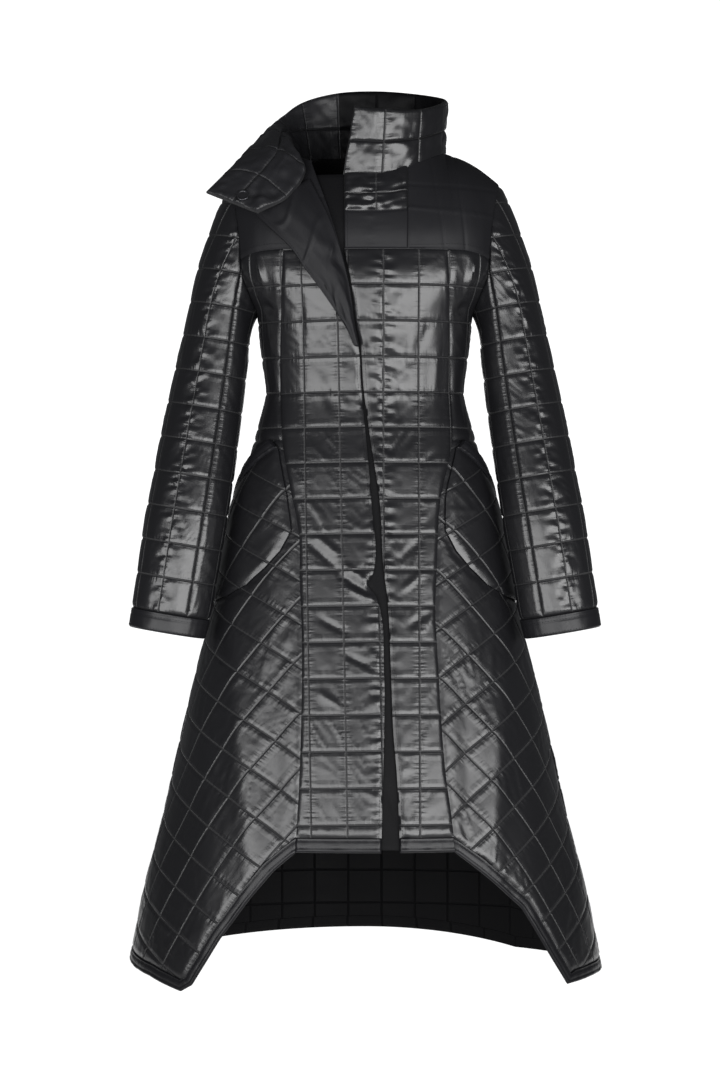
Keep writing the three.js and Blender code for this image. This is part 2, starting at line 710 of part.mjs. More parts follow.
function skirtCloth(side) {
  const out = side === "right" ? -1 : 1;
  return (x, y) => {
    const reach = Math.hypot(x, y);
    const z = SKIRT_Z - (reach - SECTOR_TOP) / SLANT;
    const share = 0.5 + Math.atan2(x, -y) / SECTOR;
    return frontCloth(out * mix(frontArc(side, z), backArc(z), share), z);
  };
}

function hemLine(side) {
  const rows = SKIRT_HEM[side];
  const line = [];
  rows.slice(0, -1).forEach((row, k) => {
    const next = rows[k + 1];
    const parts = Math.max(1, Math.round((next.share - row.share) / HEM_STRETCH));
    for (let i = 0; i < parts; i += 1) {
      line.push(skirtFlat(mix(row.share, next.share, i / parts), mix(row.z, next.z, i / parts)));
    }
  });
  line.push(skirtFlat(1, rows.at(-1).z));
  return line;
}

// The same line moved up into the panel
function raised(line, distance) {
  return line.map((p, k) => {
    const before = line[Math.max(k - 1, 0)];
    const after = line[Math.min(k + 1, line.length - 1)];
    const run = after.clone().sub(before).normalize();
    return P2(p.x - run.y * distance, p.y + run.x * distance);
  });
}

function trimEnds(line, start, end) {
  const kept = line.map((p) => p.clone());
  kept[0] = start(kept[0], kept[1]);
  const last = kept.length - 1;
  kept[last] = end(kept[last], kept[last - 1]);
  return kept;
}

const onShare = (share) => (p, inner) => {
  const turn = (q) => Math.atan2(q.x, -q.y) / SECTOR + 0.5;
  const [a, b] = [turn(p), turn(inner)];
  const t = (share - a) / (b - a);
  return P2(mix(p.x, inner.x, t), mix(p.y, inner.y, t));
};

function skirt(side) {
  const cloth = skirtCloth(side);
  const flip = side === "right" ? -1 : 1;
  const line = hemLine(side);
  const width = (z) => backArc(z) - frontArc(side, z);
  const start = onShare(CURVED_SEAM / width(FRONT_WIDTH_Z));
  const end = onShare(1 - SEAM / width(BACK_WIDTH_Z));
  const bandStart = onShare(0.5 / width(FRONT_WIDTH_Z));
  const bandTop = trimEnds(raised(line, SKIRT_BAND), bandStart, onShare(1));
  const panelFoot = trimEnds(raised(line, SKIRT_BAND + 2 * SEAM), start, end);
  const levelOf = (p) => SKIRT_Z - (Math.hypot(p.x, p.y) - SECTOR_TOP) / SLANT;
  const frontFoot = levelOf(panelFoot[0]);
  const backFoot = levelOf(panelFoot.at(-1));
  const upright = (foot) => levels(SKIRT_Z - SEAM, foot).slice(0, -1);
  const seam = upright(frontFoot).map((z) => skirtFlat(CURVED_SEAM / width(z), z));
  const rear = upright(backFoot).map((z) => skirtFlat(1 - SEAM / width(z), z));
  const top = [];
  for (let k = TOP_PARTS - 1; k > 0; k -= 1) top.push(skirtFlat(k / TOP_PARTS, SKIRT_Z - SEAM));
  const outline = [...seam, ...panelFoot, ...rear.reverse(), ...top];
  const pouch = POCKET.map(({ share, z }) => skirtFlat(share, z));
  const under = [...raised(pouch.slice(0, POCKET_MOUTH), MOUTH_BAND), ...pouch.slice(POCKET_MOUTH)];
  quilted("skirt_" + side, outline, BIAS[side], cloth, { side: flip, under });
  wall("hem_skirt_" + side, BANDING, {
    columns: line.length - 1,
    rows: 1,
    thick: BAND,
    side: flip,
    surface: (i, j) => {
      const k = clamp(Math.floor(i), 0, line.length - 2);
      const low = line[k].clone().lerp(line[k + 1], i - k);
      const high = bandTop[k].clone().lerp(bandTop[k + 1], i - k);
      const p = low.lerp(high, j);
      return cloth(p.x, p.y);
    },
  });
  pocket(side, cloth, flip, pouch);
}

// The same closed line with each side in short stretches, so that it follows the form under it
const STRETCH = 12;
function finer(line) {
  return line.flatMap((p, k) => {
    const next = line[(k + 1) % line.length];
    const parts = Math.ceil(p.distanceTo(next) / STRETCH);
    return Array.from({ length: parts }, (_, i) => p.clone().lerp(next, i / parts));
  });
}

// Pouch pocket that lies on the skirt panel, with a raised band along its slanted mouth
function pocket(side, cloth, flip, pouch) {
  const outline = finer(pouch).reverse();
  quilted("pocket_" + side, outline, BIAS[side], cloth, { side: flip, stand: POCKET_STAND });
  const mouth = pouch.slice(0, POCKET_MOUTH);
  const upper = raised(mouth, MOUTH_BAND);
  const lower = raised(mouth, 0);
  const columns = 3 * (POCKET_MOUTH - 1);
  wall("pocket_band_" + side, BANDING, {
    columns,
    rows: 1,
    thick: MOUTH_CLOTH,
    side: flip,
    surface: (i, j) => {
      const k = clamp(Math.floor(i / 3), 0, POCKET_MOUTH - 2);
      const t = i / 3 - k;
      const p = lower[k].clone().lerp(lower[k + 1], t).lerp(upper[k].clone().lerp(upper[k + 1], t), j);
      return cloth(p.x, p.y).addScaledVector(normalOf(cloth, p.x, p.y, flip), POCKET_STAND);
    },
  });
}

// Yokes: an arch from the yoke seam to the neckline and the shoulder line
function shoulderPoint(angle, rear) {
  const degrees = (angle * 180) / Math.PI;
  if (degrees < NECK_ANGLE) {
    const turn = radians((degrees / NECK_ANGLE) * 90);
    const depth = rear ? NECK.back : -NECK.front;
    const low = rear ? NECK.rear : NECK.low;
    const z = mix(low, NECK.high, Math.sin(turn) ** 2);
    return V(NECK.half * Math.sin(turn), NECK.middle + depth * Math.cos(turn), z);
  }
  const t = (degrees - NECK_ANGLE) / (ARM_ANGLE - NECK_ANGLE);
  const arch = SHOULDER_ARCH * Math.sin(Math.PI * clamp(t, 0, 1));
  return V(NECK.half, NECK.middle, NECK.high).lerp(TIP, t).add(V(0, 0, arch));
}

function yokePoint(angle, up, rear) {
  const foot = ringPoint(yokeLevel(angle), rear ? Math.PI - angle : angle);
  const head = shoulderPoint(angle, rear);
  const round = smooth(angle / radians(NECK_ANGLE) - 0.35);
  const turn = (up * Math.PI) / 2;
  const rise = mix(up, Math.sin(turn), round);
  const lean = mix(up * Math.sqrt(Math.abs(up)), 1 - Math.cos(turn), round);
  return V(mix(foot.x, head.x, smooth(up)), mix(foot.y, head.y, lean), mix(foot.z, head.z, rise));
}

// Angle on the yoke where it passes through a distance from the centre, part of the way up
function yokeAngle(x, up, rear) {
  let [low, high] = [0, radians(ARM_ANGLE)];
  for (let k = 0; k < 30; k += 1) {
    const middle = (low + high) / 2;
    if (yokePoint(middle, up, rear).x < x) low = middle;
    else high = middle;
  }
  return low;
}

const YOKE_ROWS = 5;
const EDGE_TOP = -24; // level of the neckline at the right front's edge
const PLACKET = { from: -29, to: 60, puff: 3 }; // quilted placket beside the left front's neckline
function mirrored(surface, out) {
  return (i, j) => {
    const p = surface(i, j);
    return V(out * p.x, p.y, p.z);
  };
}

function yokes() {
  const arm = radians(ARM_ANGLE);
  const edgeAngle = (up) => {
    const z = mix(YOKE_Z, EDGE_TOP, up);
    return yokeAngle(-sample(RIGHT_EDGE, "z", z, "x"), up, false);
  };
  wall("yoke_right", MATTE, {
    columns: 6,
    rows: YOKE_ROWS,
    thick: YOKE_CLOTH,
    side: -1,
    surface: mirrored((i, j) => {
      const up = j / YOKE_ROWS;
      return yokePoint(mix(edgeAngle(up), arm, i / 6), up, false);
    }, -1),
  });
  wall("yoke_left", MATTE, {
    columns: 6,
    rows: YOKE_ROWS,
    thick: YOKE_CLOTH,
    surface: (i, j) => {
      const up = j / YOKE_ROWS;
      return yokePoint(mix(yokeAngle(PLACKET.to, up, false), arm, i / 6), up, false);
    },
  });
  wall("placket", SHELL, {
    columns: 2,
    rows: 3,
    thick: STITCH,
    puff: PLACKET.puff,
    surface: (i, j) => {
      const up = j / 3;
      const x = mix(PLACKET.from, PLACKET.to, i / 2);
      const p = yokePoint(yokeAngle(Math.abs(x), up, false), up, false);
      return V(x < 0 ? -p.x : p.x, p.y, p.z);
    },
  });
  wall("yoke_back", MATTE, {
    columns: 14,
    rows: YOKE_ROWS,
    thick: YOKE_CLOTH,
    side: -1,
    surface: (i, j) => {
      const turn = (i / 7 - 1) * arm;
      const p = yokePoint(Math.abs(turn), j / YOKE_ROWS, true);
      return V(turn < 0 ? -p.x : p.x, p.y, p.z);
    },
  });
}

// Sleeves
const armholeLoop = (() => {
  const arm = radians(ARM_ANGLE);
  const loop = [];
  for (let k = 0; k <= 12; k += 1) loop.push(yokePoint(arm, 1 - k / 12, false));
  ARMHOLE.slice(1).forEach(({ z, angle }) => loop.push(ringPoint(z, radians(angle))));
  const under = ARMHOLE.slice(1, -1).reverse();
  under.forEach(({ z, angle }) => loop.push(ringPoint(z, Math.PI - radians(angle))));
  for (let k = 0; k < 12; k += 1) loop.push(yokePoint(arm, k / 12, true));
  return loop;
})();
const ARM_CENTRE = { y: 6, z: -114 };
// Angle round the sleeve: 0 at the front, 90 degrees outwards, as the armhole's top
const turnOf = (p) => {
  const t = Math.atan2(p.z - ARM_CENTRE.z, ARM_CENTRE.y - p.y);
  return t < -Math.PI / 2 ? t + 2 * Math.PI : t;
};

function armholeAt(turn) {
  const want = ((((turn + Math.PI / 2) % (2 * Math.PI)) + 2 * Math.PI) % (2 * Math.PI)) - Math.PI / 2;
  const spots = armholeLoop.map((p) => ({ p, t: turnOf(p) })).sort((a, b) => a.t - b.t);
  const n = spots.length;
  let k = spots.findIndex((spot) => spot.t > want);
  if (k < 0) k = n;
  const a = spots[(k - 1 + n) % n];
  const b = spots[k % n];
  const span = b.t - a.t + (b.t > a.t ? 0 : 2 * Math.PI);
  const reach = want - a.t + (want >= a.t ? 0 : 2 * Math.PI);
  return a.p.clone().lerp(b.p, clamp(reach / span, 0, 1));
}

function tubePoint(turn, length) {
  const z = SHOULDER_Z - length * Math.cos(LEAN);
  const row = (column) => sample(SLEEVE, "z", z, column);
  const out = row("wide") * Math.sin(turn);
  const y = row("y") - row("deep") * Math.cos(turn);
  return V(row("x") + out * Math.cos(LEAN), y, z + out * Math.sin(LEAN));
}

// The sleeve's own edge, a little outside the armhole
function capEdge(turn) {
  const up = Math.sin(turn);
  const stand = mix(CAP_STAND.side, up > 0 ? CAP_STAND.top : CAP_STAND.foot, Math.abs(up));
  return armholeAt(turn).add(V(stand, 0, 0));
}

function capLength(turn) {
  const p = capEdge(turn);
  const from = V(tubePoint(0, 0).x, 0, SHOULDER_Z);
  return (p.x - from.x) * Math.sin(LEAN) - (p.z - from.z) * Math.cos(LEAN);
}

const caps = Array.from({ length: 121 }, (_, k) => {
  const turn = radians(k * 3);
  const length = capLength(turn);
  return { length, shift: capEdge(turn).sub(tubePoint(turn, length)) };
});

function capAt(turn) {
  const at = ((((turn * 180) / Math.PI / 3) % 120) + 120) % 120;
  const k = Math.floor(at);
  const [a, b] = [caps[k], caps[k + 1]];
  return { length: mix(a.length, b.length, at - k), shift: a.shift.clone().lerp(b.shift, at - k) };
}

function sleevePoint(turn, length) {
  const cap = capAt(turn);
  const reach = mix(CAP_BLEND.foot, CAP_BLEND.top, smooth(Math.sin(turn) * 0.5 + 0.5));
  const fall = clamp(1 - (length - cap.length) / reach, 0, 1.2) ** 2;
  return tubePoint(turn, length).addScaledVector(cap.shift, fall);
}

function sleeve(side) {
  const out = side === "right" ? -1 : 1;
  const cloth = mirrored((x, y) => sleevePoint(x / FLAT_RADIUS, -y), out);
  const parts = { upper: [SLEEVE_TURN - COLUMN, 5], under: [SLEEVE_TURN + 4 * COLUMN, 3] };
  Object.entries(parts).forEach(([part, [start, columns]]) => {
    const from = radians(start) + CURVED_SEAM / FLAT_RADIUS;
    const to = radians(start + columns * COLUMN) - CURVED_SEAM / FLAT_RADIUS;
    const steps = columns * 5;
    const top = Array.from({ length: steps + 1 }, (_, k) => {
      const turn = mix(from, to, k / steps);
      return P2(turn * FLAT_RADIUS, -capAt(turn).length - 2 * SEAM);
    });
    const foot = -SLEEVE_LENGTH + SEAM;
    const sideLine = (turn) => {
      const ends = levels(-capAt(turn).length - 2 * SEAM, foot).slice(1, -1);
      return ends.map((y) => P2(turn * FLAT_RADIUS, y));
    };
    const bottom = [];
    for (let k = 0; k <= 2 * columns; k += 1) {
      bottom.push(P2(mix(to, from, k / (2 * columns)) * FLAT_RADIUS, foot));
    }
    const outline = [...top, ...sideLine(to), ...bottom, ...sideLine(from).reverse()].reverse();
    const quilt = {
      cellX: radians(COLUMN) * FLAT_RADIUS,
      cellY: SLEEVE_CELL,
      turn: 0,
      origin: P2(radians(SLEEVE_TURN) * FLAT_RADIUS + OFF_LINE.x, -SLEEVE_LENGTH - OFF_LINE.y),
    };
    quilted("sleeve_" + part + "_" + side, outline, quilt, cloth, { side: out });
  });
  wall("cuff_" + side, BANDING, {
    columns: 16,
    rows: 1,
    thick: BAND,
    side: out,
    surface: mirrored((i, j) => {
      return sleevePoint(radians(SLEEVE_TURN + (i / 16) * 360), SLEEVE_LENGTH + CUFF_LENGTH * (1 - j));
    }, out),
  });
}

// Collar in two quilted rows, standing on the wearer's left and flipped outwards on the right
function collarPoint(i, j) {
  const rows = COLLAR.map((row, k) => ({ k, ...row }));
  const at = (column) => sample(rows, "k", i, column);
  const base = V(at("bx"), at("by"), at("bz"));
  const top = V(at("tx"), at("ty"), at("tz"));
  const start = smooth((i - ROLL_START.from) / (ROLL_START.full - ROLL_START.from));
  const end = smooth((i - ROLL_END) / (COLLAR.length - 1 - ROLL_END));
  const arch = COLLAR_ROLL * start * (1 - end) * 4 * j * (1 - j);
  return base.lerp(top, j).add(V(arch * 0.25, 0, arch));
}

function collar() {
  wall("collar", SHELL, {
    columns: COLLAR.length - 1,
    rows: 2,
    thick: STITCH,
    puff: STITCH + COLLAR_PUFF,
    lining: COLLAR_PUFF,
    surface: (i, j) => collarPoint(i, j / 2),
  });
}

// Depth of the right front's cloth at a place seen from the front
function frontDepth(x, z) {
  if (z < YOKE_Z) return ringPoint(z, angleOfX(z, x)).y;
  let [low, high] = [0, 1];
  for (let k = 0; k < 24; k += 1) {
    const middle = (low + high) / 2;
    if (yokePoint(yokeAngle(Math.abs(x), middle, false), middle, false).z < z) low = middle;
    else high = middle;
  }
  return yokePoint(yokeAngle(Math.abs(x), low, false), low, false).y;
}

// Lapel: the facing of the right front's upper edge, rolled back over it
function lapel() {
  const rows = LAPEL.map((row, k) => ({ k, ...row }));
  wall("lapel", MATTE, {
    columns: 4,
    rows: LAPEL.length - 1,
    thick: FACING,
    side: -1,
    surface: (i, j) => {
      const at = (column) => sample(rows, "k", j, column);
      const across = i / 4;
      const x = mix(at("rx"), at("ox"), across);
      const z = mix(at("rz"), at("oz"), across);
      const arch = LAPEL_ARCH * Math.sin(Math.PI * clamp(across, 0, 1)) * (j / LAPEL.length);
      const root = LAPEL_ROOT + LAPEL_RISE * smooth((j - 3) / 3);
      return V(x, frontDepth(x, z) - mix(root, LAPEL_STAND, smooth(across * 3)) - arch, z);
    },
  });
}

// Round snap on the flipped collar end
function snap() {
  const profile = [
    P2(0, 0),
    P2(SNAP.radius, 0),
    P2(SNAP.radius, SNAP.height * 0.5),
    P2(SNAP.radius * 0.7, SNAP.height),
    P2(0, SNAP.height),
  ];
  const turned = new THREE.LatheGeometry(profile, SNAP_PARTS);
  turned.deleteAttribute("uv");
  turned.deleteAttribute("normal");
  const mesh = new THREE.Mesh(mergeVertices(turned), METAL);
  mesh.name = "snap";
  const surface = (i, j) => collarPoint(i, j / 2);
  const normal = normalOf(surface, SNAP.column, SNAP.row, -1);
  mesh.position.copy(surface(SNAP.column, SNAP.row).addScaledVector(normal, COLLAR_PUFF + SNAP.gap));
  mesh.quaternion.setFromUnitVectors(V(0, 1, 0), normal);
  coat.add(mesh);
}

["right", "left"].forEach((side) => {
  front(side);
  sidePanel(side);
  skirt(side);
  sleeve(side);
});
underlap();
back();
yokes();
collar();
lapel();
snap();

export default coat;
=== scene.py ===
import math

import bpy
import numpy as np
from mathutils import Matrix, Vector
from mathutils.geometry import delaunay_2d_cdt


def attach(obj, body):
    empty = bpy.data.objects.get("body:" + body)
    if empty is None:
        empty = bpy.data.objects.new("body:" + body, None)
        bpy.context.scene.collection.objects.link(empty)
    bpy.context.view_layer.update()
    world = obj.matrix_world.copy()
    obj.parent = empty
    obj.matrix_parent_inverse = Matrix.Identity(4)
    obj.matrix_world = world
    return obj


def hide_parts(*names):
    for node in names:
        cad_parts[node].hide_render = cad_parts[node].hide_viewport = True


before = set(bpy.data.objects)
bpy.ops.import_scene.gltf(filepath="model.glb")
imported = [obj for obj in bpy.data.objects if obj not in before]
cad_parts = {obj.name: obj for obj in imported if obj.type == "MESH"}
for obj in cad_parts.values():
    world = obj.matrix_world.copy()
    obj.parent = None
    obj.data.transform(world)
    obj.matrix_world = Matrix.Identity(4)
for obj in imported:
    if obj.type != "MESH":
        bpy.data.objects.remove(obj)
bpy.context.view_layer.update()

# Camera, at the photo's angle
camera = bpy.data.objects.new("camera", bpy.data.cameras.new("camera"))
bpy.context.collection.objects.link(camera)
camera.location = (-0.007, -5.0, -0.532)
camera.rotation_euler = (math.pi / 2, 0, 0)
camera.data.lens = 116.6
camera.data.sensor_width = 36
bpy.context.scene.camera = camera

# Sizes in millimetres. The front faces -Y and the wearer's right side lies at -X
OUT = {"right": -1, "left": 1}
CELL = 50.0
SLEEVE_CELL = 49.0
# Parts that a square is cut into each way
STEPS = 14
# Wall thickness on a stitched line and in the middle of a square
STITCH = 2.4
PUFF = 5.0
# Width of the rise beside a line, how far upright lines are filled, and the share of the padding's rise
GROOVE = 4.2
FLAT_LINES = 0.45
LOFT = 0.62
# Width over which the padding fades to an edge, and the lap over each seam
FADE = 7.0
SEAM = -0.2
BAND = 4.2
FACING = 2.2
LAP_GAP = 2.2
YOKE_Z = -124
QUILT_TOP = YOKE_Z - 0.37
YOKE_DROP = 23
SKIRT_Z = -392
SEAM_FOOT = -962
FRONT_BAND_Z = -941
FRONT_HEM_Z = -961
FRONT_CORNER_Z, REAR_CORNER_Z = -950, -1100
BACK_BAND_Z = -1094
BACK_HEM_Z = -1111
SKIRT_BAND = 17
BACK_DROP = {"right": 10, "left": 24}
BACK_HALF = 235


def table(columns, rows):
    values = np.array(rows, float)
    return {name: values[:, k] for k, name in enumerate(columns.split())}


BODY = table(
    "z half front back square",
    [
        (-90, 195, 109, 108, 2.5),
        (-131, 189, 113, 111, 2.4),
        (-160, 181, 116, 110, 2.35),
        (-185, 165, 117, 108, 2.3),
        (-205, 152, 116, 106, 2.3),
        (-225, 149, 113, 103, 2.25),
        (-273, 143.5, 103, 95, 2.2),
        (-323, 138, 94, 90, 2.2),
        (-375, 150.5, 100, 102, 2.2),
        (-432, 166, 113, 120, 2.2),
        (-480, 182.5, 121, 130, 2.15),
        (-542, 195.5, 133, 142, 2.1),
        (-603, 209, 144, 153, 2.1),
        (-671, 225, 157, 166, 2.1),
        (-736, 242, 169, 178, 2.1),
        (-799, 257, 181, 190, 2.1),
        (-867, 272.5, 193, 203, 2.05),
        (-932, 287, 204, 214, 2.05),
        (-1022, 310.5, 219, 229, 2),
        (-1105, 327.5, 232, 242, 2),
        (-1175, 341, 242, 252, 2),
    ],
)
SEAM_X = {
    "right": table(
        "z x",
        [
            (-124, -115.5), (-392, -115.5), (-470, -102), (-520, -92), (-587, -90.5),
            (-652, -87.5), (-720, -87), (-790, -88), (-879, -91), (-962, -96),
        ],
    ),
    "left": table(
        "z x",
        [
            (-124, 116.5), (-323, 120.5), (-393, 122), (-475, 105), (-574, 99.5), (-633, 97),
            (-676, 99.5), (-765, 104), (-853, 110.5), (-911, 118.5), (-962, 124),
        ],
    ),
}
EDGE_X = {
    "right": table(
        "z x",
        [
            (-27, -75), (-76, -52), (-120, -36), (-175, -22.5), (-232, -15.3), (-264, -9),
            (-316, -5.6), (-477, 8.4), (-578, 11), (-593, 3), (-611, 15.2), (-718, 26),
            (-796, 26), (-915, 23), (-961, 22),
        ],
    ),
    "left": table(
        "z x",
        [
            (-8, -29), (-124, -29), (-148, -24), (-175, -18.5), (-204, -15), (-232, -11.5),
            (-264, -5.5), (-316, -2), (-393, 8), (-477, 20.5), (-574, 26), (-611, 31),
            (-718, 36), (-796, 39), (-860, 44), (-961, 48),
        ],
    ),
}
BACK_SEAM = table(
    "z arc",
    [
        (-124, 128), (-205, 116), (-323, 88), (-392, 100), (-480, 118), (-700, 160), (-960, 208),
        (-1111, 235),
    ],
)
ARMHOLE = table(
    "z angle",
    [(-136, 67), (-145, 68), (-162, 70.5), (-180, 74.5), (-194, 80), (-203, 85.5), (-206, 90)],
)
SKIRT_HEM = {
    "right": table(
        "share z",
        [
            (0, -962), (0.06, -987), (0.13, -1031), (0.2, -1082), (0.245, -1124),
            (0.268, -1147), (0.3, -1157), (0.42, -1142), (0.6, -1129), (0.8, -1122),
            (1, -1121),
        ],
    ),
    "left": table(
        "share z",
        [
            (0, -962), (0.06, -983), (0.13, -1011), (0.2, -1041), (0.265, -1094), (0.3, -1124),
            (0.33, -1150), (0.45, -1145), (0.6, -1142), (0.8, -1138), (1, -1135),
        ],
    ),
}
POCKET = table(
    "share z",
    [
        (0.03, -404), (0.25, -428), (0.48, -461), (0.66, -492), (0.685, -540), (0.66, -585),
        (0.6, -613), (0.5, -621), (0.36, -612), (0.25, -596), (0.16, -572), (0.09, -548),
        (0.035, -520), (0.024, -470),
    ],
)
POCKET_MOUTH = 4
MOUTH_BAND = 15
POCKET_STAND = 4.8
SLEEVE = table(
    "z x y wide deep",
    [
        (-24, 177, 6, 44, 60),
        (-111, 189.5, 6, 40.5, 60),
        (-199, 205, 2, 42, 59),
        (-303, 221, -12, 48, 58),
        (-397, 236, -32, 52, 56),
        (-450, 244, -45, 53, 55),
        (-505, 253, -57, 54, 53),
        (-576, 264, -66, 53, 50),
        (-635, 273.5, -72, 52, 47),
        (-670, 280, -75, 50, 45),
    ],
)
LEAN = math.radians(9.4)
SHOULDER_Z = -24
SLEEVE_LENGTH = 619
CUFF_LENGTH = 28
CAP_FOOT, CAP_TOP = 45, 150
SLEEVE_TURN = math.radians(16.6)
COLUMN = math.radians(45)
FLAT_RADIUS = 58
NECK_HALF, NECK_MIDDLE, NECK_HIGH = 111.5, 8, 19
NECK_FRONT, NECK_REAR = (-88, -8.5), (88, 23)
NECK_ANGLE = math.radians(38)
ARM_ANGLE = math.radians(67)
TIP = np.array([191.0, 8.0, -27.0])
SHOULDER_ARCH = 6
SECTOR = 0.56
SECTOR_TOP = 250
SLANT = 1.04
BIAS = {
    "right": (CELL, CELL, math.radians(22), (7, -6.1)),
    "left": (CELL, CELL, math.radians(25), (9.4, 6.1)),
}
LAPEL_FOOT = -270
PLACKET_EDGE = -29
PLACKET_X = 60
SHINY = 0.45
YOKE_CLOTH = 3.1
COLLAR = table(
    "k bx by bz tx ty tz",
    [
        (0, -29, -82, -7, -15, -86, 78),
        (1, 24, -81, -7, 28, -86, 74),
        (2, 72, -58, 4, 76, -62, 76),
        (3, 104, -16, 18, 109, -18, 90),
        (4, 106, 36, 24, 110, 38, 104),
        (5, 72, 81, 26, 74, 84, 116),
        (6, 18, 99, 27, 18, 99, 122),
        (7, -37, 96, 27, -40, 98, 119),
        (8, -82, 72, 28, -92, 92, 104),
        (9, -103, 30, 30, -127, 66, 74),
        (10, -103, -27, 28, -148, 22, 48),
        (11, -92, -73, -3, -172, -30, 16),
        (12, -118, -98, -43, -197, -64, -14),
        (13, -158, -114, -71, -223, -88, -43),
    ],
)
COLLAR_COLUMNS = 13
COLLAR_PUFF = 3.4
COLLAR_ROLL = 14
COLLAR_FOOT = -0.13
# Column of the collar past which its inner side shows in the facing cloth; short of it the inner side takes
# the dark lining as painted shade inside the standing collar
FACE_START = 7
# Place of the snap on the collar, by column and height, and its size in metres
SNAP_PLACE = (12.72, 0.35)
SNAP_RADIUS = 0.009
SNAP_HEIGHT = 0.0032
LAPEL = table(
    "k rz rx oz ox",
    [
        (0, -262, -9.5, -261, -14),
        (1, -232, -15.3, -236, -26),
        (2, -204, -18.5, -212, -41.5),
        (3, -175, -22.5, -178, -65),
        (4, -148, -28.5, -152, -84.5),
        (5, -120, -36, -124, -103.5),
        (6, -76, -52, -94, -134),
        (7, -24, -78, -72, -156),
    ],
)

# Creases and folds of the cloth as seen from the front: ends, width and height (a trough is negative)
FRONT_CREASES = table(
    "x0 z0 x1 z1 wide high",
    [
        (-79, -536, -38, -572, 4.0, -2.2),
        (-70, -524, -28, -560, 4.5, 1.8),
        (-38, -578, 11, -611, 4.5, -3.4),
        (-30, -566, 6, -592, 4.0, 2.8),
        (-24, -600, 14, -617, 4.0, 2.6),
        (-66, -640, -20, -664, 4.0, -1.8),
        (-30, -690, 14, -712, 4.5, -2.0),
        (-64, -742, -30, -766, 4.0, 1.8),
        (72, -430, 96, -412, 4.0, -1.6),
        (50, -560, 84, -524, 4.0, -2.0),
        (48, -606, 86, -572, 4.0, 2.0),
        (56, -656, 92, -630, 4.5, -1.8),
        (48, -930, 30, -868, 6, -2.4),
        (60, -944, 44, -900, 5, 2.2),
        (-60, -300, -46, -352, 6, -1.8),
        (-92, -180, -86, -250, 7, -1.6),
        (64, -236, 60, -292, 5, 1.8),
        (88, -228, 76, -262, 5, -1.6),
        (100, -262, 96, -330, 6, 1.6),
        (40, -300, 52, -372, 5, -1.5),
        (-185, -126, 185, -126, 20, -4.5),
        (153, -132, 140, -180, 3.2, 4.6),
        (-151, -130, -138, -178, 3.2, 4.4),
        (140, -196, 128, -214, 5, -3.0),
        (-140, -196, -126, -212, 5, -3.0),
        (-190, -640, -150, -1040, 20, 4.0),
        (200, -640, 168, -1030, 20, 4.0),
        (-120, -700, -130, -1000, 18, -3.2),
        (136, -700, 150, -1000, 18, -3.2),
        (-250, -760, -262, -1080, 22, -3.2),
        (262, -760, 276, -1080, 22, -3.2),
    ],
)
BACK_CREASES = table(
    "x0 z0 x1 z1 wide high",
    [
        (-90, -290, -10, -312, 10, -3.0),
        (80, -300, -20, -326, 10, 2.8),
        (92, -330, 10, -346, 9, -2.8),
        (-88, -346, -16, -362, 10, 2.4),
        (-140, -160, -96, -206, 8, -2.6),
        (138, -158, 98, -208, 8, -2.6),
        (-60, -560, -74, -1060, 26, 4.0),
        (74, -540, 96, -1070, 28, -4.0),
        (4, -620, -2, -1080, 24, -3.6),
        (-170, -600, -206, -1080, 26, -3.8),
        (176, -620, 214, -1090, 26, 3.8),
    ],
)


def sample(rows, at, column):
    """Smooth value of one column of a table at values of its first column."""
    x, y = next(iter(rows.values())), rows[column]
    if x[0] > x[-1]:
        x, y = x[::-1], y[::-1]
    slope = np.diff(y) / np.diff(x)
    slopes = np.concatenate([slope[:1], (slope[1:] + slope[:-1]) / 2, slope[-1:]])
    at = np.asarray(at, float)
    k = np.clip(np.searchsorted(x, at) - 1, 0, len(x) - 2)
    step = x[k + 1] - x[k]
    t = np.clip((at - x[k]) / step, 0, 1)
    rise = y[k + 1] - y[k]
    a = slopes[k] * step - rise
    b = rise - slopes[k + 1] * step
    return y[k] + rise * t + t * (1 - t) * (a * (1 - t) + b * t)


def mix(a, b, t):
    return a + (b - a) * t


def smooth(t):
    u = np.clip(t, 0, 1)
    return u * u * (3 - 2 * u)


def spot(x, y, z):
    return np.stack(np.broadcast_arrays(np.asarray(x, float), y, z), axis=-1)


# The body's form: rings by level, with lengths round each ring
def ring_point(z, angle):
    z, angle = np.broadcast_arrays(np.asarray(z, float), np.asarray(angle, float))
    power = 2 / sample(BODY, z, "square")
    s, c = np.sin(angle), np.cos(angle)
    depth = np.where(c > 0, sample(BODY, z, "front"), sample(BODY, z, "back"))
    x = sample(BODY, z, "half") * np.sign(s) * np.abs(s) ** power
    return spot(x, -np.sign(c) * depth * np.abs(c) ** power, z)


RING_STEP, RING_PARTS, RING_TOP = 6.0, 90, -90
ring_levels = np.arange(RING_TOP, -1200, -RING_STEP)
ring_spots = ring_point(ring_levels[:, None], np.linspace(0, math.pi, RING_PARTS + 1)[None, :])
ring_steps = np.linalg.norm(np.diff(ring_spots, axis=1), axis=2)
RINGS = np.concatenate([np.zeros((len(ring_levels), 1)), ring_steps.cumsum(axis=1)], axis=1)


def over_rings(z, value):
    at = np.clip((RING_TOP - z) / RING_STEP, 0, len(RINGS) - 1.001)
    k = at.astype(int)
    return mix(value(k), value(k + 1), at - k)


def arc_of(z, angle):
    z, angle = np.broadcast_arrays(np.asarray(z, float), np.asarray(angle, float))
    at = np.abs(angle) / math.pi * RING_PARTS
    j = np.minimum(at.astype(int), RING_PARTS - 1)
    return np.sign(angle) * over_rings(z, lambda k: mix(RINGS[k, j], RINGS[k, j + 1], at - j))


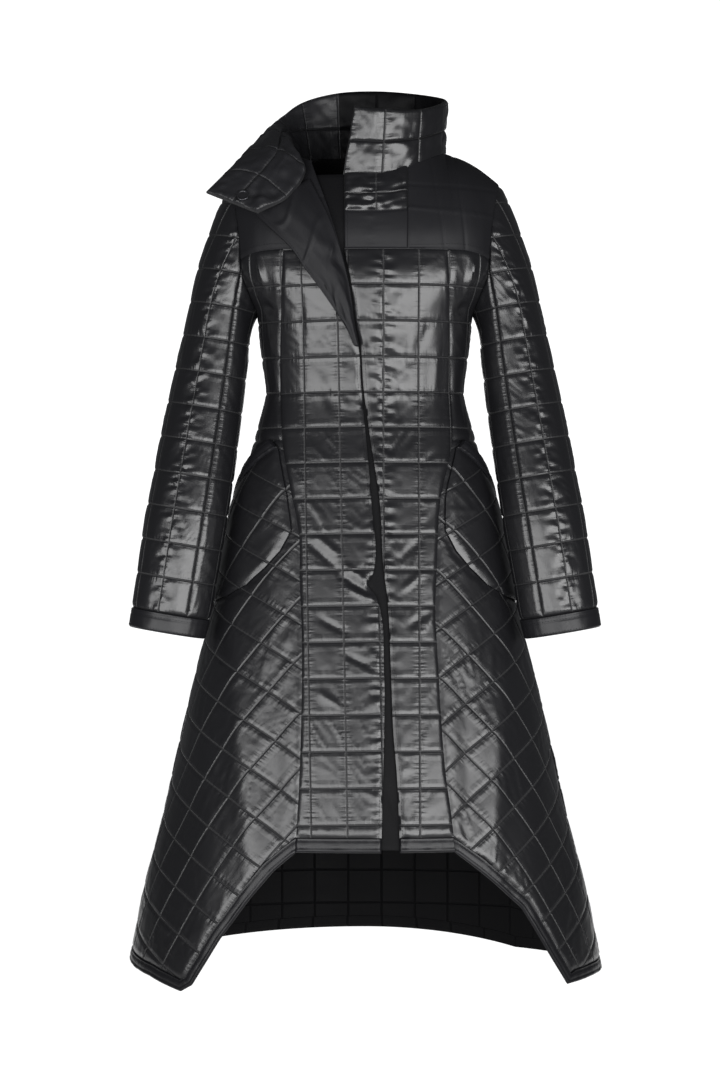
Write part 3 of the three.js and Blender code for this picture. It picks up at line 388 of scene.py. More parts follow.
def angle_of(z, arc):
    z, arc = np.broadcast_arrays(np.asarray(z, float), np.asarray(arc, float))
    size = np.abs(arc)

    def part(k):
        rows = RINGS[k]
        j = (rows[..., 1:RING_PARTS] < size[..., None]).sum(axis=-1)
        low = np.take_along_axis(rows, j[..., None], -1)[..., 0]
        high = np.take_along_axis(rows, j[..., None] + 1, -1)[..., 0]
        return j + (size - low) / (high - low)

    return np.sign(arc) * over_rings(z, part) * math.pi / RING_PARTS


def yoke_level(angle):
    return YOKE_Z - YOKE_DROP * np.sin(angle) ** 8


def arc_of_x(z, x):
    ratio = np.clip(np.abs(x) / sample(BODY, z, "half"), 0, 1)
    return arc_of(z, np.sign(x) * np.arcsin(ratio ** (sample(BODY, z, "square") / 2)))


def half_ring(z):
    return arc_of(z, math.pi)


def front_cloth(arc, z):
    return ring_point(z, angle_of(z, arc))


def back_cloth(arc, z):
    return ring_point(z, angle_of(z, np.where(arc < 0, -1, 1) * (half_ring(z) - np.abs(arc))))


def seam_arc(side, z):
    return arc_of_x(z, sample(SEAM_X[side], z, "x"))


def edge_arc(side, z):
    return arc_of_x(z, sample(EDGE_X[side], z, "x"))


def back_arc(z):
    return half_ring(z) - sample(BACK_SEAM, z, "arc")


def normal_of(surface, u, v, side):
    d = 0.4
    along = surface(u + d, v) - surface(u - d, v)
    across = surface(u, v + d) - surface(u, v - d)
    n = np.cross(along, across)
    return side * n / np.maximum(np.linalg.norm(n, axis=-1, keepdims=True), 1e-9)


# Unevenness of cloth
def noise(x, y, seed):
    grid = np.random.default_rng(seed).uniform(-1, 1, (64, 64))
    i, j = np.floor(x).astype(int), np.floor(y).astype(int)
    fx, fy = smooth(x - i), smooth(y - j)

    def at(a, b):
        return grid[a % 64, b % 64]

    return mix(mix(at(i, j), at(i + 1, j), fx), mix(at(i, j + 1), at(i + 1, j + 1), fx), fy)


def creased(p, rows):
    """Height of the creases in a table at places seen from the front."""
    total = np.zeros(p.shape[:-1])
    for x0, z0, x1, z1, wide, high in zip(*rows.values()):
        dx, dz = x1 - x0, z1 - z0
        t = np.clip(((p[..., 0] - x0) * dx + (p[..., 2] - z0) * dz) / (dx * dx + dz * dz), 0, 1)
        off = np.hypot(p[..., 0] - x0 - t * dx, p[..., 2] - z0 - t * dz)
        total += high * np.exp(-((off / wide) ** 2)) * np.sin(math.pi * np.clip(t, 0.03, 0.97)) ** 0.6
    return total


def folds(p):
    return np.where(p[..., 1] < 0, creased(p, FRONT_CREASES), creased(p, BACK_CREASES))


# Materials
WEAVE_SCALE, WEAVE_DEPTH = 900.0, 0.0004
# Gathers at a stitched line, in waves a square away from it and along it
GATHER_WAVES = (1.6, 11.0)
# Reach of the gathers and half the line's width, as parts of a square
GATHER_REACH, LINE_WIDTH = 1 / 4, 1 / 26
LINE_ROUGHNESS = 0.75


def finish(name, color, roughness, specular=0.5, metallic=0.0):
    material = bpy.data.materials.new(name)
    material.use_nodes = True
    shader = material.node_tree.nodes["Principled BSDF"]
    shader.inputs["Base Color"].default_value = (*color, 1)
    shader.inputs["Roughness"].default_value = roughness
    shader.inputs["Specular IOR Level"].default_value = specular
    shader.inputs["Metallic"].default_value = metallic
    return material


def node(material, kind, **values):
    made = material.node_tree.nodes.new(kind)
    for name, value in values.items():
        if name in made.inputs:
            made.inputs[name].default_value = value
        else:
            setattr(made, name, value)
    return made


def link(material, start, end):
    material.node_tree.links.new(start, end)


def math_node(material, operation, a, b=0.0):
    made = node(material, "ShaderNodeMath", operation=operation)
    for socket, value in zip(made.inputs, (a, b)):
        if isinstance(value, (int, float)):
            socket.default_value = value
        else:
            link(material, value, socket)
    return made.outputs[0]


def weave(material, strength):
    """Fine weave and slight unevenness, on the object's own coordinates."""
    place = node(material, "ShaderNodeTexCoord")
    grain = node(material, "ShaderNodeTexNoise", Scale=WEAVE_SCALE, Detail=2.0)
    link(material, place.outputs["Object"], grain.inputs["Vector"])
    bump = node(material, "ShaderNodeBump", Strength=strength, Distance=WEAVE_DEPTH)
    link(material, grain.outputs["Fac"], bump.inputs["Height"])
    link(material, bump.outputs["Normal"], material.node_tree.nodes["Principled BSDF"].inputs["Normal"])
    return bump


def quilt_lines(material, depth, gathers, shine):
    """Stitched lines and fine gathers across them; the lines lie on whole numbers of the piece's UV."""
    uv = node(material, "ShaderNodeUVMap", uv_map="quilt")
    parts = node(material, "ShaderNodeSeparateXYZ")
    link(material, uv.outputs["UV"], parts.inputs[0])
    heights, lines = [], []
    for here, waves in ((0, GATHER_WAVES), (1, GATHER_WAVES[::-1])):
        near = math_node(material, "PINGPONG", parts.outputs[here], 0.5)
        fading = math_node(material, "SUBTRACT", 1.0, math_node(material, "MULTIPLY", near, 1 / GATHER_REACH))
        mask = math_node(material, "MAXIMUM", fading, 0.0)
        scale = node(material, "ShaderNodeVectorMath", operation="MULTIPLY")
        scale.inputs[1].default_value = (*waves, 1.0)
        link(material, uv.outputs["UV"], scale.inputs[0])
        ripple = node(material, "ShaderNodeTexNoise", Scale=1.0, Detail=1.5, Roughness=0.5)
        link(material, scale.outputs[0], ripple.inputs["Vector"])
        gather = math_node(material, "MULTIPLY", ripple.outputs["Fac"], mask)
        heights.append(math_node(material, "MULTIPLY", gather, gathers))
        across = math_node(material, "MULTIPLY", near, 1 / LINE_WIDTH)
        lines.append(math_node(material, "MINIMUM", across, 1.0))
    line = math_node(material, "MINIMUM", lines[0], lines[1])
    total = math_node(material, "ADD", math_node(material, "ADD", heights[0], heights[1]), line)
    bump = node(material, "ShaderNodeBump", Strength=1.0, Distance=depth)
    link(material, total, bump.inputs["Height"])
    weave_bump = weave(material, 0.1)
    link(material, bump.outputs["Normal"], weave_bump.inputs["Normal"])
    change = math_node(material, "MULTIPLY", line, shine - LINE_ROUGHNESS)
    dull = math_node(material, "ADD", change, LINE_ROUGHNESS)
    link(material, dull, material.node_tree.nodes["Principled BSDF"].inputs["Roughness"])


SHELL = finish("black nylon", (0.0028, 0.0028, 0.0032), 0.29, 0.22)
quilt_lines(SHELL, 0.001, 0.9, 0.29)
MATTE = finish("matte cloth", (0.0032, 0.0032, 0.0037), 0.52, 0.06)
weave(MATTE, 0.3)
BINDING = finish("nylon band", (0.003, 0.003, 0.0035), 0.36, 0.1)
weave(BINDING, 0.2)
# Matte black lining on the pieces' inner faces; on the standing collar's inner side the same dark finish is
# painted shade
LINING_AND_PAINTED_SHADE = finish("black lining and painted shade", (0.0012, 0.0012, 0.0014), 0.55, 0.03)
quilt_lines(LINING_AND_PAINTED_SHADE, 0.0014, 0.3, 0.5)
FACE = finish("collar facing", (0.0042, 0.0042, 0.0048), 0.4, 0.15)
quilt_lines(FACE, 0.0012, 0.9, 0.42)
# Underlap cloth: plain matte black, made darker and duller still than its own tone as painted shade for the
# gap between the fronts
STRIP_IN_PAINTED_SHADE = finish("closure strip painted dark as shade", (0.0014, 0.0014, 0.0016), 0.6, 0.03)
weave(STRIP_IN_PAINTED_SHADE, 0.3)
THREAD = finish("black thread", (0.003, 0.003, 0.0035), 0.6, 0.06)
weave(THREAD, 0.3)
STEEL = finish("dark snap metal", (0.03, 0.03, 0.033), 0.3, metallic=0.9)
weave(STEEL, 0.05)


# Stitches: short spindles of thread along a line
def spindles(line, normals, length=3.0, pitch=4.2, thick=0.45):
    run = np.concatenate([[0], np.linalg.norm(np.diff(line, axis=0), axis=1).cumsum()])
    count = max(int(run[-1] / pitch), 1)
    at = (np.arange(count) + 0.5) * run[-1] / count

    def along(values, d):
        return np.stack([np.interp(d, run, values[:, k]) for k in range(3)], axis=1)

    start, end = along(line, at - length / 2), along(line, at + length / 2)
    middle = (start + end) / 2
    up = along(normals, at)
    up /= np.linalg.norm(up, axis=1, keepdims=True)
    across = np.cross(end - start, up)
    across /= np.maximum(np.linalg.norm(across, axis=1, keepdims=True), 1e-9)
    up, across = up * thick, across * thick
    corners = [start, middle + up, middle + across, middle - up, middle - across, end]
    points = np.stack(corners, axis=1).reshape(-1, 3)
    one = [(0, 1, 2), (0, 2, 3), (0, 3, 4), (0, 4, 1), (5, 2, 1), (5, 3, 2), (5, 4, 3), (5, 1, 4)]
    faces = (np.array(one)[None] + 6 * np.arange(count)[:, None, None]).reshape(-1, 3)
    return points, faces


def piece(name, points, parts, uv, outside, flat, area, inner=None, lower=None):
    """A closed piece from points and lists of faces, one list for each material."""
    faces, kinds = [], []
    for k, part in enumerate(parts):
        faces += [tuple(int(i) for i in face) for face in part]
        kinds += [k] * len(part)
    mesh = bpy.data.meshes.new(name + "_cloth")
    mesh.from_pydata((points * 0.001).tolist(), [], faces)
    mesh.polygons.foreach_set("material_index", kinds)
    mesh.polygons.foreach_set("use_smooth", [True] * len(faces))
    layer = mesh.uv_layers.new(name="quilt")
    corner = np.empty(len(mesh.loops), int)
    mesh.loops.foreach_get("vertex_index", corner)
    layer.data.foreach_set("uv", uv[corner].astype(np.float32).ravel())
    mesh.update()
    mesh.set_sharp_from_angle(angle=math.radians(56))
    for material in (outside, inner or LINING_AND_PAINTED_SHADE, THREAD, lower or outside):
        mesh.materials.append(material)
    thing = bpy.data.objects.new(name + "_cloth", mesh)
    bpy.context.collection.objects.link(thing)
    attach(thing, "root")
    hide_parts(name)
    width, length = (x * 0.001 for x in flat)
    area = min(max(area * 1e-6, 0.301 * width * length), width * length)


def add_sewing(points, uv, lines):
    """Adds spindles of thread to a piece's points and returns their faces."""
    sewn = []
    for line, normals in lines:
        spots, faces = spindles(line, normals)
        sewn.append(faces + len(points))
        points = np.concatenate([points, spots])
        uv = np.concatenate([uv, np.full((len(spots), 2), 0.5)])
    return points, uv, np.concatenate(sewn) if sewn else np.zeros((0, 3), int)


# Quilted pieces: a flat net of points on the quilting's own squares, trimmed and laid on its surface
def resampled(line, pitch, closed=True):
    line = np.asarray(line, float)
    if closed:
        line = np.concatenate([line, line[:1]])
    out = []
    for a, b in zip(line[:-1], line[1:]):
        count = max(int(round(np.linalg.norm(b - a) / pitch)), 1)
        out.append(a + (b - a) * (np.arange(count) / count)[:, None])
    if not closed:
        out.append(line[-1:])
    return np.concatenate(out)


def distance_to(outline, p):
    best = np.full(len(p), 1e9)
    for a, b in zip(outline, np.roll(outline, -1, axis=0)):
        run = b - a
        t = np.clip(((p - a) @ run) / max(run @ run, 1e-12), 0, 1)
        best = np.minimum(best, np.linalg.norm(p - a - t[:, None] * run, axis=1))
    return best


def inside(outline, p):
    odd = np.zeros(len(p), bool)
    for a, b in zip(outline, np.roll(outline, -1, axis=0)):
        crosses = (a[1] > p[:, 1]) != (b[1] > p[:, 1])
        if a[1] != b[1]:
            odd ^= crosses & (p[:, 0] < a[0] + (p[:, 1] - a[1]) / (b[1] - a[1]) * (b[0] - a[0]))
    return odd


def pillow(d, cell):
    """Rise from a stitched line: steep beside it, then nearly flat to the middle of the square."""
    t = np.clip(d / GROOVE, 0, 1)
    return (1 - (1 - t) ** 2.2) * 0.72 + 0.28 * (1 - (1 - np.clip(2 * d / cell, 0, 1)) ** 2)


# Weight, reach and length of the gathers on plain lines and on marked, strongly gathered ones
CALM_REACH, CALM_LENGTH = 8.0, 9.0
MARKED_WEIGHT, MARKED_REACH, MARKED_LENGTH = 4.6, 10.0, 5.5
# How many drags cross a square, and their height
DRAGS = ((4.5, 1.1), (8.5, 0.55))


def padding(u, v, cell_x, cell_y, seed, strong=(), drags=(0.0, 1.4), calm=0.3):
    """Share of a square's padding at each place, 0 on its stitched lines, and its gathers in millimetres."""
    i, j = np.floor(u), np.floor(v)
    du = np.abs(u - np.round(u)) * cell_x
    dv = np.abs(v - np.round(v)) * cell_y
    body = mix(FLAT_LINES, 1, pillow(du, cell_x)) * pillow(dv, cell_y)
    body = body * (1 + 0.14 * noise(i * 1.7 + 0.5, j * 2.3 + 0.5, seed))
    gather = np.zeros_like(body)
    for along, line, d, kind in ((v * cell_y, u, du, 0), (u * cell_x, v, dv, 1)):
        index = np.round(line)
        flank = np.where(line > index, 0.31, 0.0)
        weight, reach, length = np.full_like(body, calm), CALM_REACH, CALM_LENGTH
        if kind == 0 and strong:
            marked = np.isin(index, strong)
            weight = np.where(marked, MARKED_WEIGHT, weight)
            reach = np.where(marked, MARKED_REACH, reach)
            length = np.where(marked, MARKED_LENGTH, length)
        ripple = noise(along / length + flank * 9, index * 5.17 + flank + d / 14, seed + 2 + kind)
        gather += weight * ripple * np.exp(-d / reach) * (1 - 0.8 * np.exp(-d / 1.5))
    # A few slanted drags inside each square, different from square to square
    lean = drags[0] + noise(i * 3.1 + 0.5, j * 2.7 + 0.5, seed + 7) * drags[1]
    across = (u - i) * np.cos(lean) + (v - j) * np.sin(lean)
    run = (v - j) * np.cos(lean) - (u - i) * np.sin(lean)
    depth = np.clip(0.55 + 0.9 * noise(i * 1.9 + 0.5, j * 1.3 + 0.5, seed + 8), 0.15, 1)
    for dense, high in DRAGS:
        drag = noise(across * dense + i * 9.7, run * dense * 0.22 + j * 7.3, seed + 5)
        gather += high * depth * body * (np.clip(1 - np.abs(drag) * 2.6, 0, 1) - 0.25)
    return body, gather


def quilted(
    name, outline, quilt, surface, side=1, stand=0.0, under=None, strong=(), sewing=(), drags=(0.0, 1.4)
):
    cell_x, cell_y, turn, origin = quilt
    c, s = math.cos(turn), math.sin(turn)
    seed = sum(ord(letter) * (k + 3) for k, letter in enumerate(name))

    def to_grid(p):
        x, y = p[:, 0] - origin[0], p[:, 1] - origin[1]
        return (x * c + y * s) / cell_x, (y * c - x * s) / cell_y

    pitch = cell_x / STEPS
    rim = resampled(outline, pitch)
    gu, gv = to_grid(rim)
    i = np.arange(math.floor(gu.min()) * STEPS, math.ceil(gu.max()) * STEPS + 1) / STEPS
    j = np.arange(math.floor(gv.min()) * STEPS, math.ceil(gv.max()) * STEPS + 1) / STEPS
    gu, gv = (g.ravel() for g in np.meshgrid(i, j))
    net_x = origin[0] + gu * cell_x * c - gv * cell_y * s
    net_y = origin[1] + gu * cell_x * s + gv * cell_y * c
    net = np.stack([net_x, net_y], axis=1)
    net = net[inside(rim, net)]
    net = net[distance_to(rim, net) > pitch * 0.45]
    flat = np.concatenate([rim, net])
    count = len(rim)
    edges = [(k, (k + 1) % count) for k in range(count)]
    result = delaunay_2d_cdt([Vector(p) for p in flat], edges, [], 1, 1e-5)
    flat = np.array([tuple(p) for p in result[0]])
    triangles = np.array(result[2])
    loop = np.array(edges)
    a, b, d = (flat[triangles[:, k]] for k in range(3))
    turned = np.cross(b - a, d - a)
    triangles = np.where((turned * side < 0)[:, None], triangles[:, ::-1], triangles)

    def laid(p, height):
        q = surface(p[:, 0], p[:, 1])
        n = normal_of(surface, p[:, 0], p[:, 1], side)
        return q + n * (height + folds(q) + stand)[:, None], n

    def height_at(p):
        u, v = to_grid(p)
        gap = distance_to(rim, p)
        share = smooth(gap / FADE)
        if under is not None:
            share = np.where(inside(under, p) | (distance_to(under, p) < 6), 0, share)
        body, gather = padding(u, v, cell_x, cell_y, seed, strong, drags)
        low = STITCH * (0.55 + 0.45 * smooth(gap / 2.5))
        return low + (PUFF - STITCH) * LOFT * body * share + gather * (0.25 + 0.75 * share) * 0.8

    outer, _ = laid(flat, height_at(flat))
    inner, _ = laid(flat, np.zeros(len(flat)))
    total = len(flat)
    strips = np.stack([loop[:, 0], loop[:, 1], loop[:, 1] + total, loop[:, 0] + total], axis=1)
    area_sign = np.sum(rim[:, 0] * np.roll(rim[:, 1], -1) - rim[:, 1] * np.roll(rim[:, 0], -1))
    if area_sign * side > 0:
        strips = strips[:, ::-1]
    lines = []
    for line in sewing:
        p = resampled(line, 3.0, closed=False)
        lines.append(laid(p, height_at(p) + 0.15))
    points = np.concatenate([outer, inner])
    uv = np.stack(to_grid(flat), axis=1)
    uv = np.concatenate([uv, uv])
    points, uv, threads = add_sewing(points, uv, lines)
    size = flat.max(axis=0) - flat.min(axis=0)
    parts = [list(triangles) + list(strips), list(triangles[:, ::-1] + total), list(threads)]
    piece(name, points, parts, uv, SHELL, size, abs(area_sign) / 2)


def wall(
    name, outside, surface, columns, rows, cells, outer_height, inner_height=None, side=1,
    sewing=(), bend=True, wrap=False, inner=None, lower=None, lower_to=0.0, deep_to=0.0,
):
    """A wall over a surface of u by v, both from 0 to 1; cells gives its squares for the quilting's lines.

    The material lower covers the outer side up to lower_to and the inner side across to deep_to.
    """
    d = 1e-3

    def length(u, v, du, dv):
        return np.linalg.norm(surface(u + du, v + dv) - surface(u - du, v - dv), axis=-1) / (2 * d)

    def kept(u, v):
        gu = 0 if wrap else SEAM / np.maximum(length(np.clip(u, d, 1 - d), v, d, 0), 1)
        gv = SEAM / np.maximum(length(u, np.clip(v, d, 1 - d), 0, d), 1)
        return np.clip(u, gu, 1 - gu), np.clip(v, gv, 1 - gv)

    def normal(u, v):
        uu, vv = (u, v) if wrap else (np.clip(u, d, 1 - d), np.clip(v, d, 1 - d))
        n = np.cross(surface(uu + d, vv) - surface(uu - d, vv), surface(uu, vv + d) - surface(uu, vv - d))
        return side * n / np.maximum(np.linalg.norm(n, axis=-1, keepdims=True), 1e-9)

    def laid(u, v, height):
        uu, vv = kept(u, v)
        q = surface(uu, vv)
        n = normal(uu, vv)
        extra = folds(q) if bend else 0.0
        return q + n * (height + extra)[..., None], n

    u, v = np.meshgrid(np.linspace(0, 1, columns + 1), np.linspace(0, 1, rows + 1), indexing="ij")
    if wrap:
        u, v = u[:-1], v[:-1]
    outer, _ = laid(u, v, outer_height(u, v))
    under, _ = laid(u, v, inner_height(u, v) if inner_height else np.zeros(u.shape))
    across, down = u.shape
    index = np.arange(across * down).reshape(across, down)
    total = across * down
    ring = np.concatenate([index, index[:1]]) if wrap else index
    a, b, c, e = ring[:-1, :-1], ring[1:, :-1], ring[1:, 1:], ring[:-1, 1:]
    quads = np.stack([a, b, c, e], axis=-1).reshape(-1, 4)

    def strip(line):
        return np.stack([line[1:], line[:-1], line[:-1] + total, line[1:] + total], axis=1)

    strips = [strip(ring[:, 0]), strip(ring[::-1, -1])]
    if not wrap:
        strips += [strip(index[0, ::-1]), strip(index[-1])]
    strips = np.concatenate(strips)
    if side < 0:
        quads, strips = quads[:, ::-1], strips[:, ::-1]
    lines = []
    for line in sewing:
        p = np.asarray(line, float)
        at, given = np.linspace(0, 1, 200), np.linspace(0, 1, len(p))
        x, y = (np.interp(at, given, p[:, k]) for k in (0, 1))
        lines.append(laid(x, y, outer_height(x, y) + 0.15))
    points = np.concatenate([outer.reshape(-1, 3), under.reshape(-1, 3)])
    uv = np.stack([u * cells[0], v * cells[1]], axis=-1).reshape(-1, 2)
    uv = np.concatenate([uv, uv])
    points, uv, threads = add_sewing(points, uv, lines)
    wide = np.linalg.norm(np.diff(under[:, down // 2], axis=0), axis=1).sum()
    tall = np.linalg.norm(np.diff(under[across // 2], axis=0), axis=1).sum()
    p, q, r, t = (under.reshape(-1, 3)[x.ravel()] for x in (a, b, c, e))
    area = 0.5 * np.linalg.norm(np.cross(r - p, t - q), axis=1).sum()
    wide, tall = max(wide, area / tall), max(tall, area / max(wide, area / tall))
    low = np.tile(np.arange(down - 1) < lower_to * (down - 1), len(quads) // (down - 1))
    deep = np.arange(len(quads)) < round(deep_to * columns) * (down - 1)
    facing = quads[:, ::-1] + total
    parts = [
        [*quads[~low], *strips],
        list(facing[~deep]),
        list(threads),
        [*quads[low], *facing[deep]],
    ]
    piece(name, points, parts, uv, outside, (wide, tall), area, inner, lower)


def sewn_across(*heights, inset=0.01):
    """Straight lines of sewing across a wall at the given heights."""
    return [[(inset, v), (1 - inset, v)] for v in heights]


def rounded(u, v, wide, tall, thick, soft=2.4):
    """Thickness of plain cloth that is rounded off at its four edges."""
    gap = np.minimum(np.minimum(u, 1 - u) * wide, np.minimum(v, 1 - v) * tall)
    t = np.clip(gap / soft, 0, 1)
    return thick * (0.45 + 0.55 * np.sqrt(1 - (1 - t) ** 2))


def levels(top, foot):
    out = [top]
    z = math.floor((top - 5) / 25) * 25
    while z > foot + 5:
        out.append(z)
        z -= 25
    return np.array([*out, foot], float)


def line_of(x, y):
    return np.stack(np.broadcast_arrays(np.asarray(x, float), np.asarray(y, float)), axis=1)


def band_height(wide, tall, thick, seed, groove=(0.3, 0.8)):
    """A stitched hem band: rounded, a little uneven, with shallow grooves along its stitching."""

    def height(u, v):
        h = rounded(u, v, wide, tall, thick)
        for at in groove:
            h = h - 0.7 * np.exp(-(((v - at) * tall / 1.3) ** 2))
        return h + 0.45 * noise(u * wide / 9, v * 1.5, seed) + 0.3 * noise(u * wide / 4.5, v * 2, seed + 1)

    return height


# Fronts, with their hem bands
def front(side):
    out = OUT[side]
    steps = levels(YOKE_Z - SEAM, FRONT_BAND_Z + SEAM)
    fine = np.linspace(steps[0], steps[-1], 180)
    edge = line_of(edge_arc(side, fine) + out * SEAM, fine)
    seam = line_of([seam_arc(side, z) - out * SEAM for z in steps], steps)
    outline = [*seam, *edge[::-1]] if side == "right" else [*edge, *seam[::-1]]
    turn, start, marked = (0.02, -40.3, 1) if side == "right" else (0.0, 25.6, 0)
    sewn = edge[edge[:, 1] < LAPEL_FOOT] if side == "right" else edge
    quilted(
        "front_" + side,
        np.array(outline),
        (CELL, CELL, turn, (start, QUILT_TOP)),
        front_cloth,
        strong=(marked,),
        sewing=[sewn + np.array([out * 4.0, 0])],
        drags=(-out * 0.75, 0.5),
    )

    def band(u, v):
        z = mix(FRONT_HEM_Z, FRONT_BAND_Z, v)
        a, b = sorted((seam_arc, edge_arc), key=lambda arc: arc(side, FRONT_HEM_Z))
        return front_cloth(mix(a(side, z), b(side, z), u), z)

    wall("hem_front_" + side, BINDING, band, 48, 12, (2, 1), band_height(110, 20, BAND, 11),
         sewing=sewn_across(0.3, 0.8))


def side_panel(side):
    out = OUT[side]
    steps = levels(YOKE_Z - 1 - SEAM, SKIRT_Z + SEAM)
    seam = line_of([seam_arc(side, z) + out * SEAM for z in steps], steps)
    rear = line_of([out * (back_arc(z) - SEAM) for z in steps], steps)
    top = np.radians([40, 47, 54, 61])
    angle = np.concatenate([top, np.radians(ARMHOLE["angle"])])
    z = np.concatenate([yoke_level(top), ARMHOLE["z"]])
    ahead = line_of(out * arc_of(z, angle), z - SEAM)
    behind = line_of(out * arc_of(z, math.pi - angle), z - SEAM)
    outline = np.array([*seam[::-1], *ahead, *behind[:-1][::-1], *rear])
    quilted("side_" + side, outline, (CELL, CELL, 0.0, (out * 170.4, QUILT_TOP)), front_cloth)


def back_drop(share):
    return np.where(share < 0, BACK_DROP["right"], BACK_DROP["left"]) * share**2


def centre_back():
    edges = []
    for side, out in OUT.items():
        steps = levels(YOKE_Z - 1, BACK_BAND_Z + SEAM - BACK_DROP[side])
        edges.append(line_of(out * (sample(BACK_SEAM, steps, "arc") - SEAM), steps))
    share = np.linspace(-0.9, 0.9, 19)
    foot = line_of(share * BACK_HALF, BACK_BAND_Z + SEAM - back_drop(share))
    outline = np.array([*edges[0], *foot, *edges[1][::-1]])
    quilted("back", outline, (CELL, CELL, 0.0, (25.3, QUILT_TOP)), back_cloth, side=-1)

    def band(u, v):
        share = 2 * u - 1
        z = mix(BACK_HEM_Z, BACK_BAND_Z, v) - back_drop(share)
        return back_cloth(sample(BACK_SEAM, z, "arc") * share, z)

    wall("hem_back", BINDING, band, 160, 12, (9, 1), band_height(465, 17, BAND, 21), side=-1,
         sewing=sewn_across(0.3, 0.8, inset=0.004))


# Skirt panels lie flat as a sector, so that their squares run on the bias
def skirt_flat(share, z):
    reach = SECTOR_TOP + (SKIRT_Z - z) * SLANT
    turn = (share - 0.5) * SECTOR
    return line_of(reach * np.sin(turn), -reach * np.cos(turn))


def skirt_cloth(side):
    out = OUT[side]

    def surface(x, y):
        z = SKIRT_Z - (np.hypot(x, y) - SECTOR_TOP) / SLANT
        share = 0.5 + np.arctan2(x, -y) / SECTOR
        return front_cloth(out * mix(np.abs(seam_arc(side, np.maximum(z, SEAM_FOOT))), back_arc(z), share), z)

    return surface


def raised(line, distance):
    run = np.concatenate([line[1:], line[-1:]]) - np.concatenate([line[:1], line[:-1]])
    run /= np.linalg.norm(run, axis=1, keepdims=True)
    return line + distance * np.stack([-run[:, 1], run[:, 0]], axis=1)


def on_share(p, other, share):
    a, b = (math.atan2(q[0], -q[1]) / SECTOR + 0.5 for q in (p, other))
    return p + (other - p) * (share - a) / (b - a)


def trimmed(line, start, end):
    line = line.copy()
    line[0], line[-1] = on_share(line[0], line[1], start), on_share(line[-1], line[-2], end)
    return line


def over_line(line, t):
    at = np.clip(t * (len(line) - 1), -0.5, len(line) - 0.5)
    k = np.clip(np.floor(at).astype(int), 0, len(line) - 2)
    return line[k] + (line[k + 1] - line[k]) * (at - k)[..., None]


def between(cloth, low, high, stand=0.0, side=1):
    def surface(u, v):
        p = mix(over_line(low, u), over_line(high, u), v[..., None] if hasattr(v, "shape") else v)
        q = cloth(p[..., 0], p[..., 1])
        return q + normal_of(cloth, p[..., 0], p[..., 1], side) * stand if stand else q

    return surface


def skirt(side):
    cloth = skirt_cloth(side)
    flip = OUT[side]
    share, level = SKIRT_HEM[side].values()
    parts = [max(1, round((b - a) / 0.045)) for a, b in zip(share[:-1], share[1:])]
    shares = [np.linspace(a, b, n, endpoint=False) for a, b, n in zip(share[:-1], share[1:], parts)]
    shares = np.concatenate([*shares, [1.0]])
    line = skirt_flat(shares, np.interp(shares, share, level))

    def width(z):
        return back_arc(z) - np.abs(seam_arc(side, np.maximum(z, SEAM_FOOT)))

    ahead, behind = width(FRONT_CORNER_Z), width(REAR_CORNER_Z)
    top = trimmed(raised(line, SKIRT_BAND), 0.5 / ahead, 1.0)
    foot = trimmed(raised(line, SKIRT_BAND + 2 * SEAM), SEAM / ahead, 1 - SEAM / behind)
    level = SKIRT_Z - (np.linalg.norm(foot, axis=1) - SECTOR_TOP) / SLANT
    seam_z = levels(SKIRT_Z - SEAM, level[0])[:-1]
    rear_z = levels(SKIRT_Z - SEAM, level[-1])[:-1]
    seam = skirt_flat(SEAM / width(seam_z), seam_z)
    rear = skirt_flat(1 - SEAM / width(rear_z), rear_z)
    top_edge = skirt_flat(np.array([0.75, 0.5, 0.25]), SKIRT_Z - SEAM)
    outline = np.array([*seam, *foot, *rear[::-1], *top_edge])
    pouch = skirt_flat(POCKET["share"], POCKET["z"])
    under = np.array([*raised(pouch[:POCKET_MOUTH], MOUTH_BAND), *pouch[POCKET_MOUTH:]])
    streaks = (-BIAS[side][2], 0.5)
    quilted("skirt_" + side, outline, BIAS[side], cloth, side=flip, under=under, drags=streaks)
    wall("hem_skirt_" + side, BINDING, between(cloth, line, top), 170, 12, (9, 1),
         band_height(500, 17, BAND, 31), side=flip, sewing=sewn_across(0.3, 0.8, inset=0.003))
    quilted("pocket_" + side, pouch, BIAS[side], cloth, side=flip, stand=POCKET_STAND, drags=streaks)
    mouth = pouch[:POCKET_MOUTH]
    upper = raised(mouth, MOUTH_BAND)
    wall("pocket_band_" + side, BINDING, between(cloth, mouth, upper, POCKET_STAND, flip), 60, 12,
         (3, 1), band_height(170, MOUTH_BAND, BAND + 2, 41, (0.25, 0.8)), side=flip,
         sewing=sewn_across(0.25, 0.8))


# Yokes arch from the yoke seam to the neckline and the shoulder line
def shoulder_point(angle, rear):
    turn = angle / NECK_ANGLE * math.pi / 2
    depth, low = NECK_REAR if rear else NECK_FRONT
    neck = spot(
        NECK_HALF * np.sin(turn), NECK_MIDDLE + depth * np.cos(turn), mix(low, NECK_HIGH, np.sin(turn) ** 2)
    )
    start = np.array([NECK_HALF, NECK_MIDDLE, NECK_HIGH])
    t = (angle - NECK_ANGLE) / (ARM_ANGLE - NECK_ANGLE)
    arch = SHOULDER_ARCH * np.sin(math.pi * np.clip(t, 0, 1))
    line = start + (TIP - start) * t[..., None] + spot(0, 0, arch)
    return np.where((angle < NECK_ANGLE)[..., None], neck, line)


def yoke_point(angle, up, rear):
    angle, up = np.broadcast_arrays(np.asarray(angle, float), np.asarray(up, float))
    foot = ring_point(yoke_level(angle), math.pi - angle if rear else angle)
    head = shoulder_point(angle, rear)
    bent = smooth(angle / NECK_ANGLE - 0.35)
    turn = up * math.pi / 2
    rise = mix(up, np.sin(turn), bent)
    lean = mix(up * np.sqrt(np.abs(up)), 1 - np.cos(turn), bent)
    shares = (smooth(up), lean, rise)
    return spot(*(mix(foot[..., k], head[..., k], share) for k, share in enumerate(shares)))


